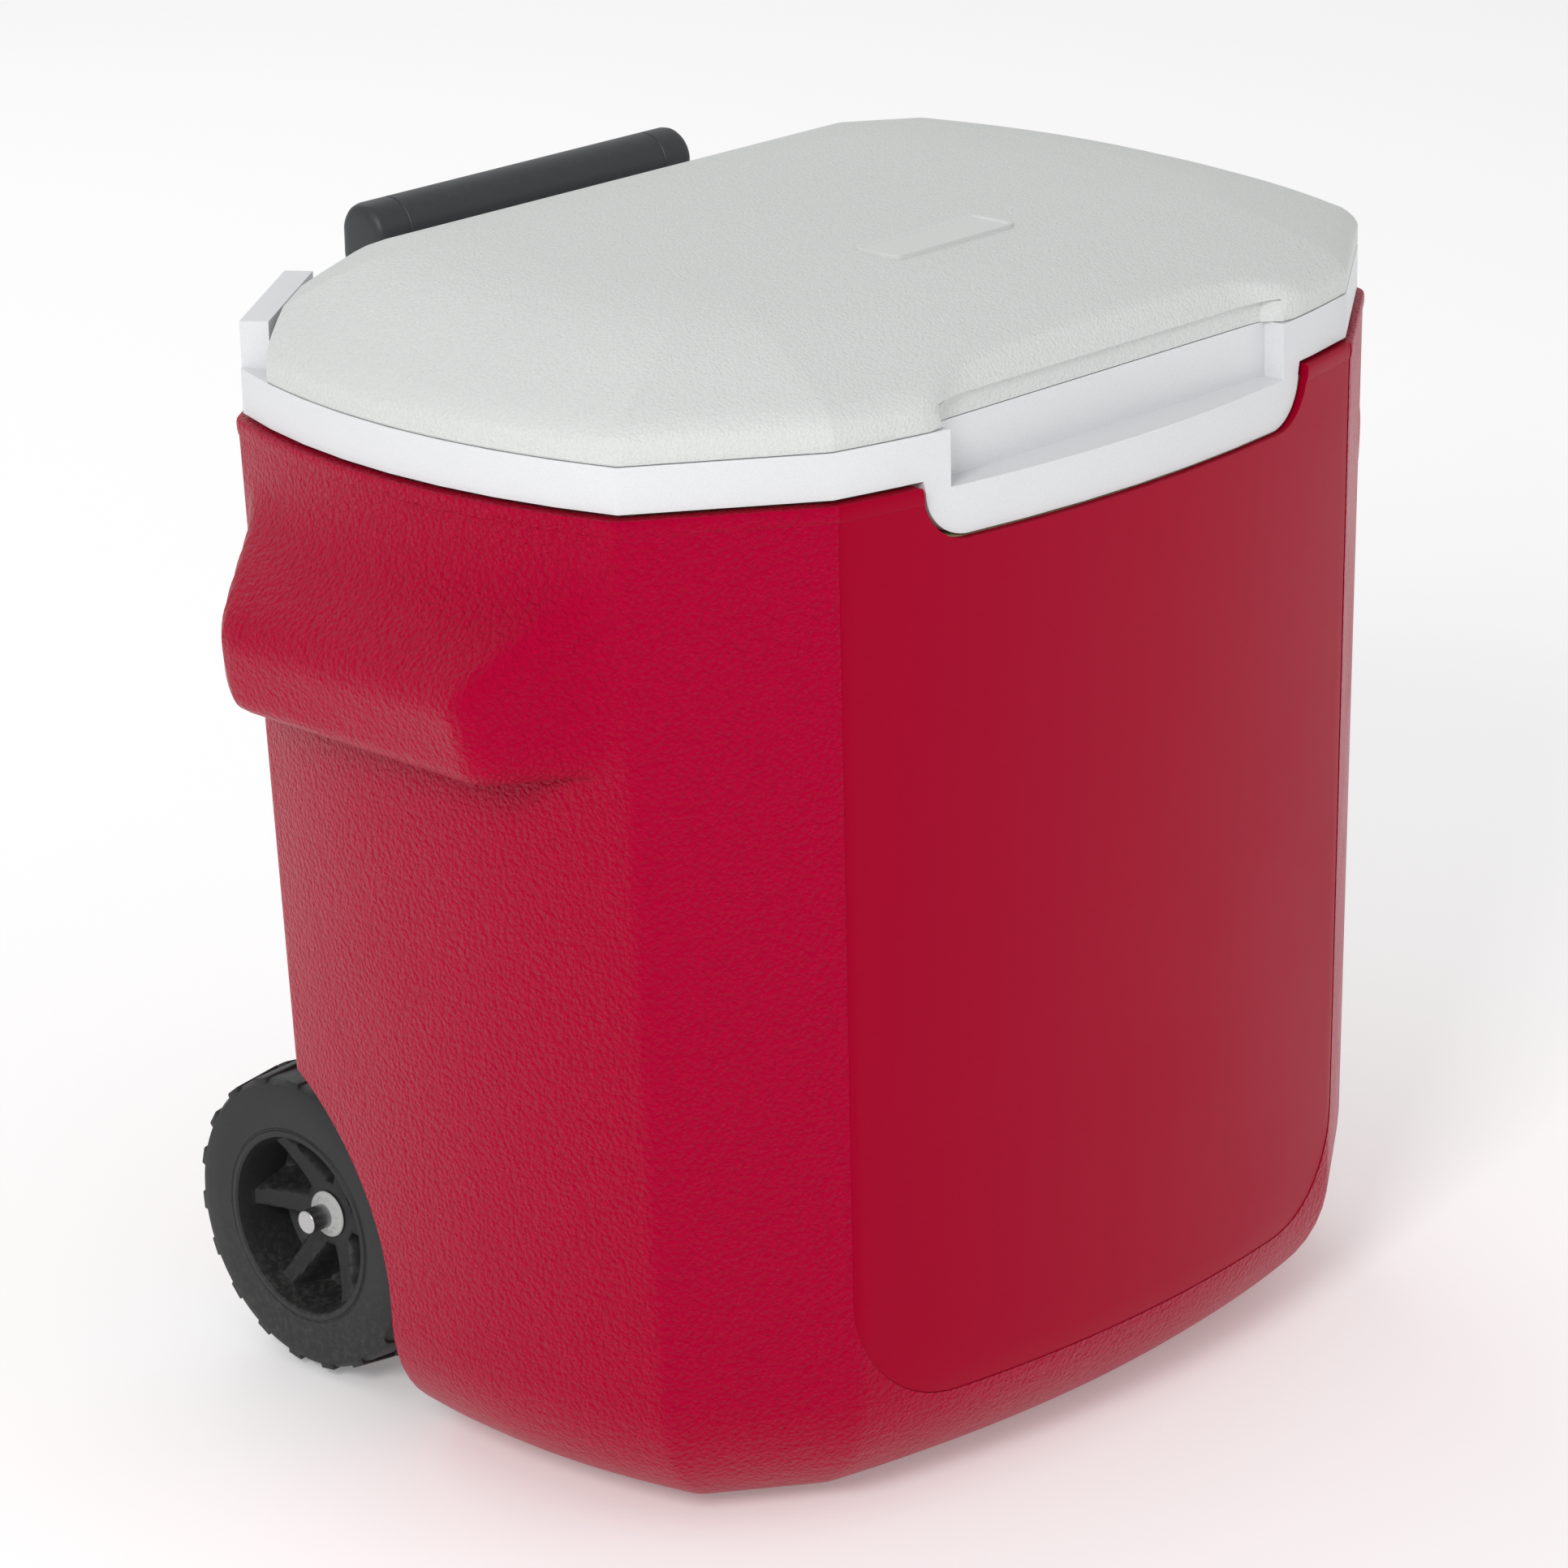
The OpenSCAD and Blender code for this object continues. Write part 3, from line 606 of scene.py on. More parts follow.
PEBBLE = Grain(cell_mm=1.7, relief_mm=1.15, strength=1.0, shade=0.06)
SATIN = Grain(cell_mm=0.5, relief_mm=0.012, strength=0.6, shade=0.03)
FINE = Grain(cell_mm=1.1, relief_mm=0.42, strength=1.0, shade=0.02)
RED: Colour = (0.375, 0.0003, 0.024)
BODY_RED = Finish("Moulded red, pebbled", "shell_red", RED, 0.30, PEBBLE, specular=0.45,
                  tint=(1.0, 0.02, 0.20), dust=0.01, scuff=0.01)
# Same red plastic as the body, with a real satin face. Its base colour is set darker than the body's red as
# painted shade for the front face.
SHADED_PANEL_RED = Finish("Moulded red, satin, painted shade", "shell_red", (0.325, 0.0003, 0.018), 0.42, SATIN,
                   specular=0.3, tint=(1.0, 0.01, 0.14), smudge=0.05, dust=0.01, scuff=0.01)
RIM_WHITE = Finish("White liner plastic", "liner_white", (0.72, 0.73, 0.745), 0.32, SATIN,
                   dust=0.02, scuff=0.04)
LID_GREY = Finish("Pale grey lid, fine grain", "lid_grey", (0.66, 0.68, 0.665), 0.42, FINE,
                  dust=0.02, scuff=0.02)
LID_SMOOTH = Finish("Pale grey lid, smooth", "lid_grey", (0.66, 0.68, 0.665), 0.36, SATIN,
                    dust=0.02, scuff=0.02)
GRIP_BLACK = Finish("Black grip plastic", "grip_black", (0.026, 0.030, 0.033), 0.42,
                    Grain(0.6, 0.03, 0.8, 0.08), dust=0.05)
PART_BLACK = Finish("Black moulded plastic", "black_plastic", (0.022, 0.024, 0.026), 0.45,
                    Grain(0.7, 0.03, 0.8, 0.08), dust=0.08)
WHEEL_BLACK = Finish("Black wheel plastic", "wheel_black", (0.017, 0.018, 0.018), 0.5,
                     Grain(0.8, 0.03, 0.8, 0.10), specular=0.35, dust=0.12, scuff=0.15)
BRUSHED_TUBE = Finish("Drawn tube", "tube_metal", (0.60, 0.61, 0.62), 0.3,
                      Grain(1.0, 0.006, 0.5, 0.02), metallic=1.0, brushed="Z", dust=0.03)
ROD_STEEL = Finish("Zinc-plated steel", "steel", (0.52, 0.52, 0.53), 0.34,
                   Grain(1.0, 0.005, 0.5, 0.05), metallic=1.0, brushed="X", dust=0.05)
NUT_GREY = Finish("Pale grey cap plastic", "nut_grey", (0.47, 0.48, 0.47), 0.35,
                  Grain(0.6, 0.01, 0.6, 0.05), dust=0.05)
FOAM = Finish("Rigid foam", "foam", (0.82, 0.74, 0.46), 0.9, Grain(1.2, 0.25, 0.9, 0.2),
              specular=0.2, dust=0.0)


# ---- tub ----

@dataclass
class TubPlan:
    """Plan outline of the tub: four bowed or flat walls with a flat chamfer between each two."""
    half_w: float = 168.0
    half_d: float = 120.0
    side_corner_y: float = 82.5
    front_corner_x: float = 116.0
    side_bow: float = 14.5
    front_bow: float = 15.0
    wall_draft: float = 0.03
    front_draft: float = 0.005
    top: float = 330.0
    front_columns: int = 48
    side_columns: int = 44
    chamfer_columns: int = 3
    back_columns: int = 10

    def __post_init__(self) -> None:
        """Works out the direction of the chamfers."""
        run, rise = self.half_w - self.front_corner_x, self.half_d - self.side_corner_y
        length = math.hypot(run, rise)
        self.nx, self.ny = rise / length, run / length

    @staticmethod
    def rise(u: float, half: float, bow: float) -> float:
        """How far a bow of that half chord stands out at distance u from its middle."""
        radius = (half * half + bow * bow) / (2 * bow)
        return math.sqrt(max(radius * radius - u * u, 0.0)) - radius + bow

    def outline(self, side: float, front: float, back: float, front_chamfer: float,
                back_chamfer: float) -> Ring:
        """Ring in plan, moved inward by its own distance at each kind of wall.

        Args:
            side: inset of the two side walls.
            front: inset of the front wall.
            back: inset of the back wall.
            front_chamfer: inset of the two front chamfers.
            back_chamfer: inset of the two back chamfers.

        Returns:
            The ring's points, from the front's left end round by the right.
        """
        x_side = self.half_w - side
        y_front = -(self.side_corner_y + (self.nx * side - front_chamfer) / self.ny)
        y_back = self.side_corner_y + (self.nx * side - back_chamfer) / self.ny
        x_front = self.front_corner_x + (self.ny * front - front_chamfer) / self.nx
        x_back = self.front_corner_x + (self.ny * back - back_chamfer) / self.nx
        middle, half_side = (y_front + y_back) / 2, (y_back - y_front) / 2
        bow_side = self.side_bow * (half_side / self.side_corner_y) ** 2
        bow_front = self.front_bow * (x_front / self.front_corner_x) ** 2
        points: Ring = []
        for i in range(self.front_columns):
            u = x_front * (2 * i / self.front_columns - 1)
            points.append(Vector((u, front - self.half_d - self.rise(u, x_front, bow_front), 0)))
        right = [Vector((x_front, front - self.half_d, 0)), Vector((x_side, y_front, 0)),
                 Vector((x_side, y_back, 0)), Vector((x_back, self.half_d - back, 0))]
        points += self._straight(right[0], right[1], self.chamfer_columns)
        for i in range(self.side_columns):
            u = half_side * (2 * i / self.side_columns - 1)
            out = self.rise(u, half_side, bow_side)
            points.append(Vector((x_side + out, middle + u, 0)))
        points += self._straight(right[2], right[3], self.chamfer_columns)
        left = [Vector((-p.x, p.y, 0)) for p in right]
        points += self._straight(right[3], left[3], self.back_columns)
        points += self._straight(left[3], left[2], self.chamfer_columns)
        for i in range(self.side_columns):
            u = half_side * (1 - 2 * i / self.side_columns)
            out = self.rise(u, half_side, bow_side)
            points.append(Vector((-x_side - out, middle + u, 0)))
        points += self._straight(left[1], left[0], self.chamfer_columns)
        return points

    @staticmethod
    def _straight(start: Vector, end: Vector, count: int) -> Ring:
        """Evenly spaced points from start, without the end."""
        return [start.lerp(end, i / count) for i in range(count)]

    def corner_columns(self) -> list[int]:
        """Columns that stand on the eight corners of the plan."""
        counts = [self.front_columns, self.chamfer_columns, self.side_columns,
                  self.chamfer_columns, self.back_columns, self.chamfer_columns,
                  self.side_columns, self.chamfer_columns]
        corners, total = [], 0
        for count in counts:
            corners.append(total)
            total += count
        return corners

    def at_height(self, z: float, inset: float) -> Ring:
        """Ring of the sloping walls at a height."""
        down = self.top - z
        s, f = self.wall_draft * down, self.front_draft * down
        return [Vector((p.x, p.y, z)) for p in self.outline(
            inset + s, inset + f, inset + s, inset + (s + f) / 2.4, inset + s * 1.15)]


@dataclass
class SideHandles:
    """Moulded side handles: a sloping top, a steep outer face and ends that slope back."""
    reach_x: float = 206.0
    ridge_z: float = 277.0
    crease_z: float = 306.0
    lip_z: float = 249.0
    lip_in: float = 6.0
    ridge_half_l: float = 53.0
    wall_half_l: float = 74.0
    wall_x: float = 169.5
    blend: float = 9.0
    lip_round: float = 5.5
    end_tuck: float = 3.5
    end_rise: float = 13.0
    end_blend: float = 16.0

    def out(self, wall_x: float, y: float, z: float, inset: float) -> float:
        """How far the surface stands out at a place on the side.

        Args:
            wall_x: where the plain wall is.
            y: distance along the side.
            z: height.
            inset: how far inside the outer surface.

        Returns:
            The distance from the middle plane to the surface.
        """
        if z < self.lip_z or abs(y) > self.wall_half_l + self.end_blend:
            return wall_x - inset
        slope = (self.reach_x - wall_x) / (self.crease_z - self.ridge_z)
        top = wall_x + (self.crease_z - z) * slope
        face = self.reach_x - (self.ridge_z - z) * self.lip_in / (self.ridge_z - self.lip_z)
        taper = (self.reach_x - self.wall_x) / (self.wall_half_l - self.ridge_half_l)
        above = z - self.lip_z
        tuck = self.end_tuck * max(0.0, 1 - above / self.end_rise) ** 2
        end = self.wall_x + (self.wall_half_l - tuck - abs(y)) * taper
        pod = smooth_min(smooth_min(top, face, self.blend), end, self.blend)
        if above < self.lip_round:
            back = self.lip_round - above
            pod -= self.lip_round - math.sqrt(self.lip_round ** 2 - back ** 2)
        return smooth_max(wall_x, pod, self.blend) - inset


@dataclass
class WheelRoom:
    """Open corner wells for the wheels, and the groove for the axle between them."""
    inner_x: float = 113.9
    radius: float = 59.0
    flare_x: float = 139.9
    flare: float = 22.0
    outer_x: float = 210.0
    groove_half: float = 4.5

    def well(self, centre: Vector, grow: float) -> BMesh:
        """Makes the cutter for the right-hand well, from its inner wall out past the side.

        Args:
            centre: a point on the wheels' axis.
            grow: how much bigger the cutter is all round.

        Returns:
            A closed mesh in millimetres.
        """
        rings = []
        for x, r in ((self.inner_x - grow, self.radius + grow),
                     (self.flare_x, self.radius + grow),
                     (self.outer_x, self.radius + grow + self.flare)):
            ring = [Vector((x, centre.y - r, -6.0))]
            ring += [Vector((x, centre.y - r * math.cos(math.pi * i / 32),
                             centre.z + r * math.sin(math.pi * i / 32))) for i in range(17)]
            ring += [Vector((x, centre.y + r * 1.6, centre.z + r)),
                     Vector((x, centre.y + r * 1.6, -6.0))]
            rings.append(ring)
        return loft(rings)

    def groove(self, centre: Vector, grow: float) -> BMesh:
        """Cutter for the groove that the axle lies in."""
        half = self.groove_half + grow
        return block(Vector((-self.inner_x - 2, centre.y - half, centre.z - half)),
                     Vector((self.inner_x + 2, centre.y + 100, centre.z + half)))


@dataclass
class Tab:
    """Outline of the rim's front tab, which the shell leaves open."""
    half_w: float = 88.0
    low_half_w: float = 84.0
    foot: float = 311.5
    corner: float = 15.0
    front_y: float = -160.0
    back_y: float = -90.0

    def outline(self, top: float, grow: float) -> BMesh:
        """Prism of the tab's outline through the front wall."""
        foot = self.foot - grow
        corners = [(-self.half_w - grow, top), (-self.low_half_w - grow, foot),
                   (self.low_half_w + grow, foot), (self.half_w + grow, top)]
        return prism(corners, self.front_y, self.back_y, self.corner, (1, 2), 12)


@dataclass
class Tub:
    """Outer shell with side handles and front panel, rim, liner and foam."""
    plan: TubPlan
    handles: SideHandles
    room: WheelRoom
    tab: Tab
    base_round: float = 46.5
    base_steps: int = 12
    shoulder: float = 0.5
    rim_gap: float = 1.4
    flange: float = 5.0
    wall: float = 3.0
    panel_half_w: float = 115.4
    panel_foot: float = 38.0
    panel_corner: float = 38.0
    panel_lean: float = 3.2
    panel_sink: float = 0.25
    panel_gap: float = 0.1
    tab_gap: float = 1.0
    room_half_l: float = 44.0

    SHOULDER_SHAPE = ((4.8, 0.5), (3.4, 0.9), (2.0, 1.0), (1.0, 0.85), (0.35, 0.5), (0.0, 0.0))

    def __post_init__(self) -> None:
        """Finds the wheels' axis and the rim in the frame."""
        self.axis = axle_centre("wheel_right")
        self.rim_top = hinge_place().z - HINGE_ABOVE_RIM

    def heights(self) -> list[float]:
        """Heights of the shell's rings above its base rounding."""
        lip = self.handles.lip_z
        walls = [lerp(self.base_round + 14, lip - 8, i / 13) for i in range(14)]
        under = [lip - 3, lip - 0.8, lip, lip + 0.25, lip + 0.8, lip + 1.8, lip + 3.2, lip + 5]
        pod = [lerp(lip + 7.2, 314, i / 28) for i in range(29)]
        return walls + under + pod + [319.0, 323.5]

    def body(self, inset: float, top: float) -> BMesh:
        """Makes the tub's body with its side handles, some way inside the outer surface.

        Args:
            inset: how far inside the outer surface.
            top: height of the last ring.

        Returns:
            A closed mesh in millimetres.
        """
        rounding = max(self.base_round - inset, 8.0)
        rings = []
        for i in range(self.base_steps + 1):
            a = math.pi / 2 * i / self.base_steps
            z = inset + rounding * (1 - math.cos(a))
            rings.append(self.plan.at_height(z, inset + rounding * (1 - math.sin(a))))
        for z in self.heights():
            rings.append(self._ring(z, inset, 0.0))
        if inset < self.wall:
            for down, share in self.SHOULDER_SHAPE:
                rings.append(self._ring(top - down - self.rim_gap, inset, share * self.shoulder))
        else:
            rings.append(self._ring(self.plan.top - 5.0, inset, 0.0))
            rings.append(self._ring(self.plan.top - 4.9, inset + self.flange, 0.0))
            rings.append(self._ring(top, inset + self.flange, 0.0))
        return loft(rings, creases=self.plan.corner_columns(),
                    crease_mm=2.2 if inset < 1 else 1.5)

    def _ring(self, z: float, inset: float, proud: float) -> Ring:
        """Makes the ring at a height, with the side handles pulled out of it.

        Args:
            z: height.
            inset: how far inside the outer surface.
            proud: how far the shoulder stands out.

        Returns:
            The ring's points.
        """
        ring = self.plan.at_height(z, inset - proud)
        outer = self.plan.at_height(z, 0.0)
        for point, wall in zip(ring, outer):
            if abs(wall.x) > self.plan.half_w - 16 and abs(wall.y) < self.plan.side_corner_y:
                out = self.handles.out(abs(wall.x), wall.y, z, inset)
                if out > abs(wall.x) - inset + 0.01:
                    point.x = math.copysign(max(out, abs(point.x)), wall.x)
        return ring

    def panel_prism(self, grow: float) -> BMesh:
        """Prism of the smooth front panel's outline."""
        w, foot = self.panel_half_w + grow, self.panel_foot - grow
        corners = [(-w, self.plan.top + 4), (-w + self.panel_lean, foot),
                   (w - self.panel_lean, foot), (w, self.plan.top + 4)]
        return prism(corners, -150.0, -72.0, self.panel_corner, (1, 2), 14)

    def _cutters(self, grow: float) -> list[BMesh]:
        """Cutters for the wheel wells, the axle's groove and the finger rooms."""
        room = self.room
        return [room.well(self.axis, grow), room.groove(self.axis, grow),
                mirrored(room.well(self.axis, grow)), self._finger_room(grow),
                mirrored(self._finger_room(grow))]

    def shell(self) -> None:
        """Pebbled shell and the satin panel let into its front."""
        outer = self.body(0.0, self.plan.top)
        inner = self.body(self.wall, self.plan.top + 3)
        panel = self.body(self.panel_sink, self.plan.top)
        for cutter in self._cutters(0.0):
            outer = combine(outer, cutter, Cut.AWAY)
        for cutter in self._cutters(self.wall):
            inner = combine(inner, cutter, Cut.AWAY)
        hollow = inner.copy()
        foam = combine(node_shape("foam_core"), inner.copy(), Cut.KEEP)
        finish_piece(foam, "wall_foam", FOAM, "tub", ["foam_core"])
        outer = combine(outer, inner, Cut.AWAY)
        outer = combine(outer, self.tab.outline(self.rim_top + 6, self.tab_gap), Cut.AWAY)
        outer = combine(outer, self.panel_prism(self.panel_gap), Cut.AWAY)
        finish_piece(outer, "shell_body", BODY_RED, "tub", ["outer_shell"],
                     edge=Edge(0.5, 2, 38))
        panel = combine(panel, self.panel_prism(0.0), Cut.KEEP)
        panel = combine(panel, hollow, Cut.AWAY)
        panel = combine(panel, self.tab.outline(self.rim_top + 6, self.tab_gap), Cut.AWAY)
        # The front panel's darker red is painted shade; its satin face is real.
        finish_piece(panel, "front_panel", SHADED_PANEL_RED, "tub", ["outer_shell"],
                     edge=Edge(0.15, 2, 38))

    def _finger_room(self, grow: float) -> BMesh:
        """Makes the cutter for the room behind the right-hand handle's lip.

        Args:
            grow: how much bigger the cutter is all round.

        Returns:
            A closed mesh in millimetres.
        """
        z0 = self.handles.lip_z
        wall = self.plan.half_w + self.plan.side_bow - self.plan.wall_draft * (
            self.plan.top - z0) + 0.5
        back, front = wall - 6 - grow, self.handles.reach_x - 11 + grow
        half = self.room_half_l + grow
        corners = [(wall, z0 - 14), (wall, z0 + 1), (back, z0 + 10 - grow),
                   (back, z0 + 34 + grow), (back + 7, z0 + 34 + grow), (front, z0 + 20 + grow),
                   (front, z0 - 14)]
        bm = prism(corners, -half, half)
        if grow == 0.0:
            keep = [e for e in bm.edges if all(v.co.z > z0 + 5 for v in e.verts)]
            bmesh.ops.bevel(bm, geom=keep, offset=2.5, segments=3, profile=0.5, affect="EDGES",
                            material=-1)
        return bm

    def linings(self) -> None:
        """Liner with its rim and ears."""
        refined_copy("liner", "liner_and_rim", RIM_WHITE, "tub", Edge(1.6, 4))

    def build(self) -> None:
        """Makes every piece of the tub."""
        self.shell()
        self.linings()


@dataclass(frozen=True)
class SmallPart:
    """A small part, or a left and right pair, that keeps its CAD shape."""
    node: str
    finish: Finish
    edge_mm: float
    paired: bool = False

    def nodes(self) -> list[str]:
        """Names of its CAD nodes."""
        return [self.node + side for side in (("_left", "_right") if self.paired else ("",))]


class Hardware:
    """Small parts, with softened edges."""

    PARTS = (SmallPart("hinge_pin", ROD_STEEL, 0.4, True), SmallPart("grip_screws", ROD_STEEL, 0.4),
             SmallPart("inner_tube", BRUSHED_TUBE, 0.2, True),
             SmallPart("inner_plug", PART_BLACK, 0.3, True),
             SmallPart("middle_tube", BRUSHED_TUBE, 0.2, True),
             SmallPart("middle_plug", PART_BLACK, 0.3, True),
             SmallPart("middle_yoke", PART_BLACK, 0.8),
             SmallPart("outer_tube", BRUSHED_TUBE, 0.2, True),
             SmallPart("tube_collar", PART_BLACK, 0.5, True),
             SmallPart("upper_bracket", PART_BLACK, 0.8), SmallPart("lower_bracket", PART_BLACK, 0.8),
             SmallPart("upper_bracket_screws", ROD_STEEL, 0.5),
             SmallPart("lower_bracket_screws", ROD_STEEL, 0.5), SmallPart("axle", ROD_STEEL, 0.6),
             SmallPart("axle_clip", PART_BLACK, 0.6, True), SmallPart("clip_screws", ROD_STEEL, 0.4),
             SmallPart("washer", ROD_STEEL, 0.2, True))

    def build(self) -> None:
        """Makes each small part."""
        owner = {n: b for b, ns in frame["record"]["behaviour"]["bodies"].items() for n in ns}
        for part in self.PARTS:
            for node in part.nodes():
                refined_copy(node, node + "_part", part.finish, owner[node], Edge(part.edge_mm, 2))


@dataclass
class Scoop:
    """Smooth face in the front of the lid that leans back over the fingers, and its low step."""
    ledge_z: float = 351.0
    ledge_y: float = -120.6
    lean: float = 0.48
    low_half_w: float = 75.0
    narrowing: float = 0.78
    flare: float = 0.42
    step_y: float = -118.9
    step_half_w: float = 72.5
    step_flare: float = 1.6
    foot_z: float = 344.0

    def surface(self, x: float, z: float, inset: float) -> float:
        """Finds the depth of the scooped surface at a place across the front.

        Args:
            x: distance from the middle.
            z: height.
            inset: how far inside the outer surface.

        Returns:
            Where the surface is, along Y.
        """
        back = self.ledge_y + (z - self.ledge_z) * self.lean
        half = self.low_half_w - (z - self.foot_z) * self.narrowing
        face = back - smooth_max(0.0, abs(x) - half, 8.0) * self.flare
        if z < self.ledge_z:
            step = self.step_y - smooth_max(0.0, abs(x) - self.step_half_w, 2.0) * self.step_flare
            face = max(face, step)
        return face + inset


@dataclass
class Lid:
    """Lid skin with its blank plate, the underside and the foam."""
    plan: TubPlan
    scoop: Scoop
    height: float = 30.0
    seat: float = 0.3
    rim_back: float = 2.0
    back_in: float = 12.3
    skin: float = 2.5
    crease: float = 5.5
    scoop_reach: float = 112.0
    scoop_blend: float = 2.6
    ear_t: float = 9.0
    ear_gap: float = 2.8
    knuckle_r: float = 7.7
    knuckle_x0: float = 97.5
    plate_size: tuple[float, float, float] = (54.0, 18.0, 4.75)
    plate_front: float = -60.0
    plate_foot: float = 370.0

    PROFILE = ((0.0, 0.35, 0.0), (0.02, 0.0, 0.0), (0.22, 0.0, 0.0), (0.30, 1.2, 0.2),
               (0.40, 4.2, 1.2), (0.50, 10.0, 3.0), (0.64, 20.0, 7.6), (0.78, 31.0, 14.0),
               (0.90, 44.0, 22.0), (0.965, 58.0, 31.0))
    SHARES = (0.0, 0.02, 0.1, 0.18, 0.215, 0.235, 0.26, 0.29, 0.33, 0.37, 0.41, 0.45, 0.5, 0.55,
              0.6, 0.64, 0.69, 0.74, 0.78, 0.83, 0.88, 0.91, 0.94, 0.965)
    CROWN = ((0.8, 0.984), (0.55, 0.994), (0.25, 1.0))

    def __post_init__(self) -> None:
        """Finds the hinge and the rim in the frame."""
        self.hinge = hinge_place()
        self.rim_top = self.hinge.z - HINGE_ABOVE_RIM

    def _profile(self, share: float) -> tuple[float, float]:
        """Insets of the front and sides, and of the back, at a share of the height."""
        steps = self.PROFILE
        for (s0, a0, b0), (s1, a1, b1) in zip(steps, steps[1:]):
            if share <= s1:
                t = (share - s0) / (s1 - s0)
                return lerp(a0, a1, t), lerp(b0, b1, t)
        return steps[-1][1], steps[-1][2]

    def form(self, inset: float, foot: float) -> BMesh:
        """Makes the lid's body, some way inside its outer surface.

        Args:
            inset: how far inside the outer surface.
            foot: how far the lowest ring is moved up.

        Returns:
            A closed mesh in millimetres.
        """
        top = self.height - inset
        blend = self.scoop_blend
        rings = []
        for share in self.SHARES:
            side, back = self._profile(share)
            z = self.rim_top + self.seat + share * (top - self.seat)
            if share == 0.0:
                z += foot
            e = self.rim_back + inset
            ring = self.plan.outline(e + side, e + side, self.back_in + inset + back, e + side,
                                     e + max(back, side * 0.8))
            for point in ring:
                point.z = z
                if point.y < 0 and abs(point.x) < self.scoop_reach:
                    wall = self.scoop.surface(point.x, z, inset)
                    point.y = smooth_max(point.y, wall, blend) if wall > point.y - blend else point.y
            rings.append(ring)
        last = rings[-1]
        middle = sum(last, Vector()) / len(last)
        for shrink, share in self.CROWN:
            z = self.rim_top + self.seat + share * (top - self.seat)
            ring = [middle.lerp(p, shrink) for p in last]
            for point in ring:
                point.z = z
            rings.append(ring)
        return loft(rings, creases=self.plan.corner_columns(), crease_mm=self.crease)

    def _ear_room(self, side: int, grow: float) -> BMesh:
        """Makes the cutter that leaves an ear free.

        Args:
            side: 1 for the right-hand ear, -1 for the left-hand one.
            grow: how much bigger the cutter is all round.

        Returns:
            A closed mesh in millimetres.
        """
        plan = self.plan
        half = math.hypot(plan.half_w - plan.front_corner_x, plan.half_d - plan.side_corner_y) / 2
        bm = block(Vector((-half - 18, -(self.ear_t + self.rim_back + self.ear_gap + grow), 0)),
                   Vector((half + 18, 20, 80)))
        angle = math.atan2(plan.half_d - plan.side_corner_y, plan.half_w - plan.front_corner_x)
        middle = Vector((side * (plan.half_w + plan.front_corner_x) / 2,
                         (plan.half_d + plan.side_corner_y) / 2, self.rim_top - 20))
        bmesh.ops.rotate(bm, verts=bm.verts, matrix=Matrix.Rotation(-side * angle, 3, "Z"))
        bmesh.ops.translate(bm, verts=bm.verts, vec=middle)
        return bm

    def _hinge_room(self, side: int, grow: float) -> BMesh:
        """Makes the cutter that leaves a hinge knuckle free.

        Args:
            side: 1 for the right-hand knuckle, -1 for the left-hand one.
            grow: how much bigger the cutter is all round.

        Returns:
            A closed mesh in millimetres.
        """
        low = Vector((self.knuckle_x0 - 1 - grow, self.hinge.y - self.knuckle_r - 1 - grow,
                      self.rim_top - 20))
        high = Vector((self.knuckle_x0 + 59, self.hinge.y + 52, self.rim_top + self.height + 6))
        if side < 0:
            low.x, high.x = -high.x, -low.x
        return block(low, high, 1.5)

    def skin_piece(self) -> None:
        """Grained skin with the scoop, ears and hinges cut clear."""
        outer = self.form(0.0, 0.0)
        inner = self.form(self.skin, -6.0)
        for side in (-1, 1):
            outer = combine(outer, self._ear_room(side, 0.0), Cut.AWAY)
            inner = combine(inner, self._ear_room(side, self.skin), Cut.AWAY)
            inner = combine(inner, self._hinge_room(side, self.skin), Cut.AWAY)
        outer = combine(outer, inner, Cut.AWAY)
        for side in (-1, 1):
            outer = combine(outer, self._hinge_room(side, 0.0), Cut.AWAY)
        finish_piece(outer, "lid_skin", LID_GREY, "lid", ["lid_top"], edge=Edge(0.5, 2, 38))

    def plate(self) -> None:
        """Blank plate with a raised border."""
        length, depth, rise = self.plate_size
        bm = block(Vector((-length / 2, self.plate_front, self.plate_foot)),
                   Vector((length / 2, self.plate_front + depth, self.plate_foot + rise)))
        upright = [e for e in bm.edges if abs(e.verts[0].co.z - e.verts[1].co.z) > 1]
        bmesh.ops.bevel(bm, geom=upright, offset=3.0, segments=5, profile=0.5, affect="EDGES",
                        material=-1)
        bm.normal_update()
        top = [f for f in bm.faces if f.normal.z > 0.9]
        bmesh.ops.inset_region(bm, faces=top, thickness=1.5, depth=0.0)
        bmesh.ops.inset_region(bm, faces=top, thickness=0.35, depth=-0.5)
        finish_piece(bm, "lid_plate", LID_SMOOTH, "lid", ["lid_top"], edge=Edge(0.2, 2, 30))

    def build(self) -> None:
        """Makes the lid's pieces."""
        self.skin_piece()
        self.plate()
        refined_copy("lid_inner", "lid_underside", RIM_WHITE, "lid", Edge(0.8, 3))
        frame["nodes"]["lid_foam"].data.materials.clear()
        frame["nodes"]["lid_foam"].data.materials.append(FOAM.material())


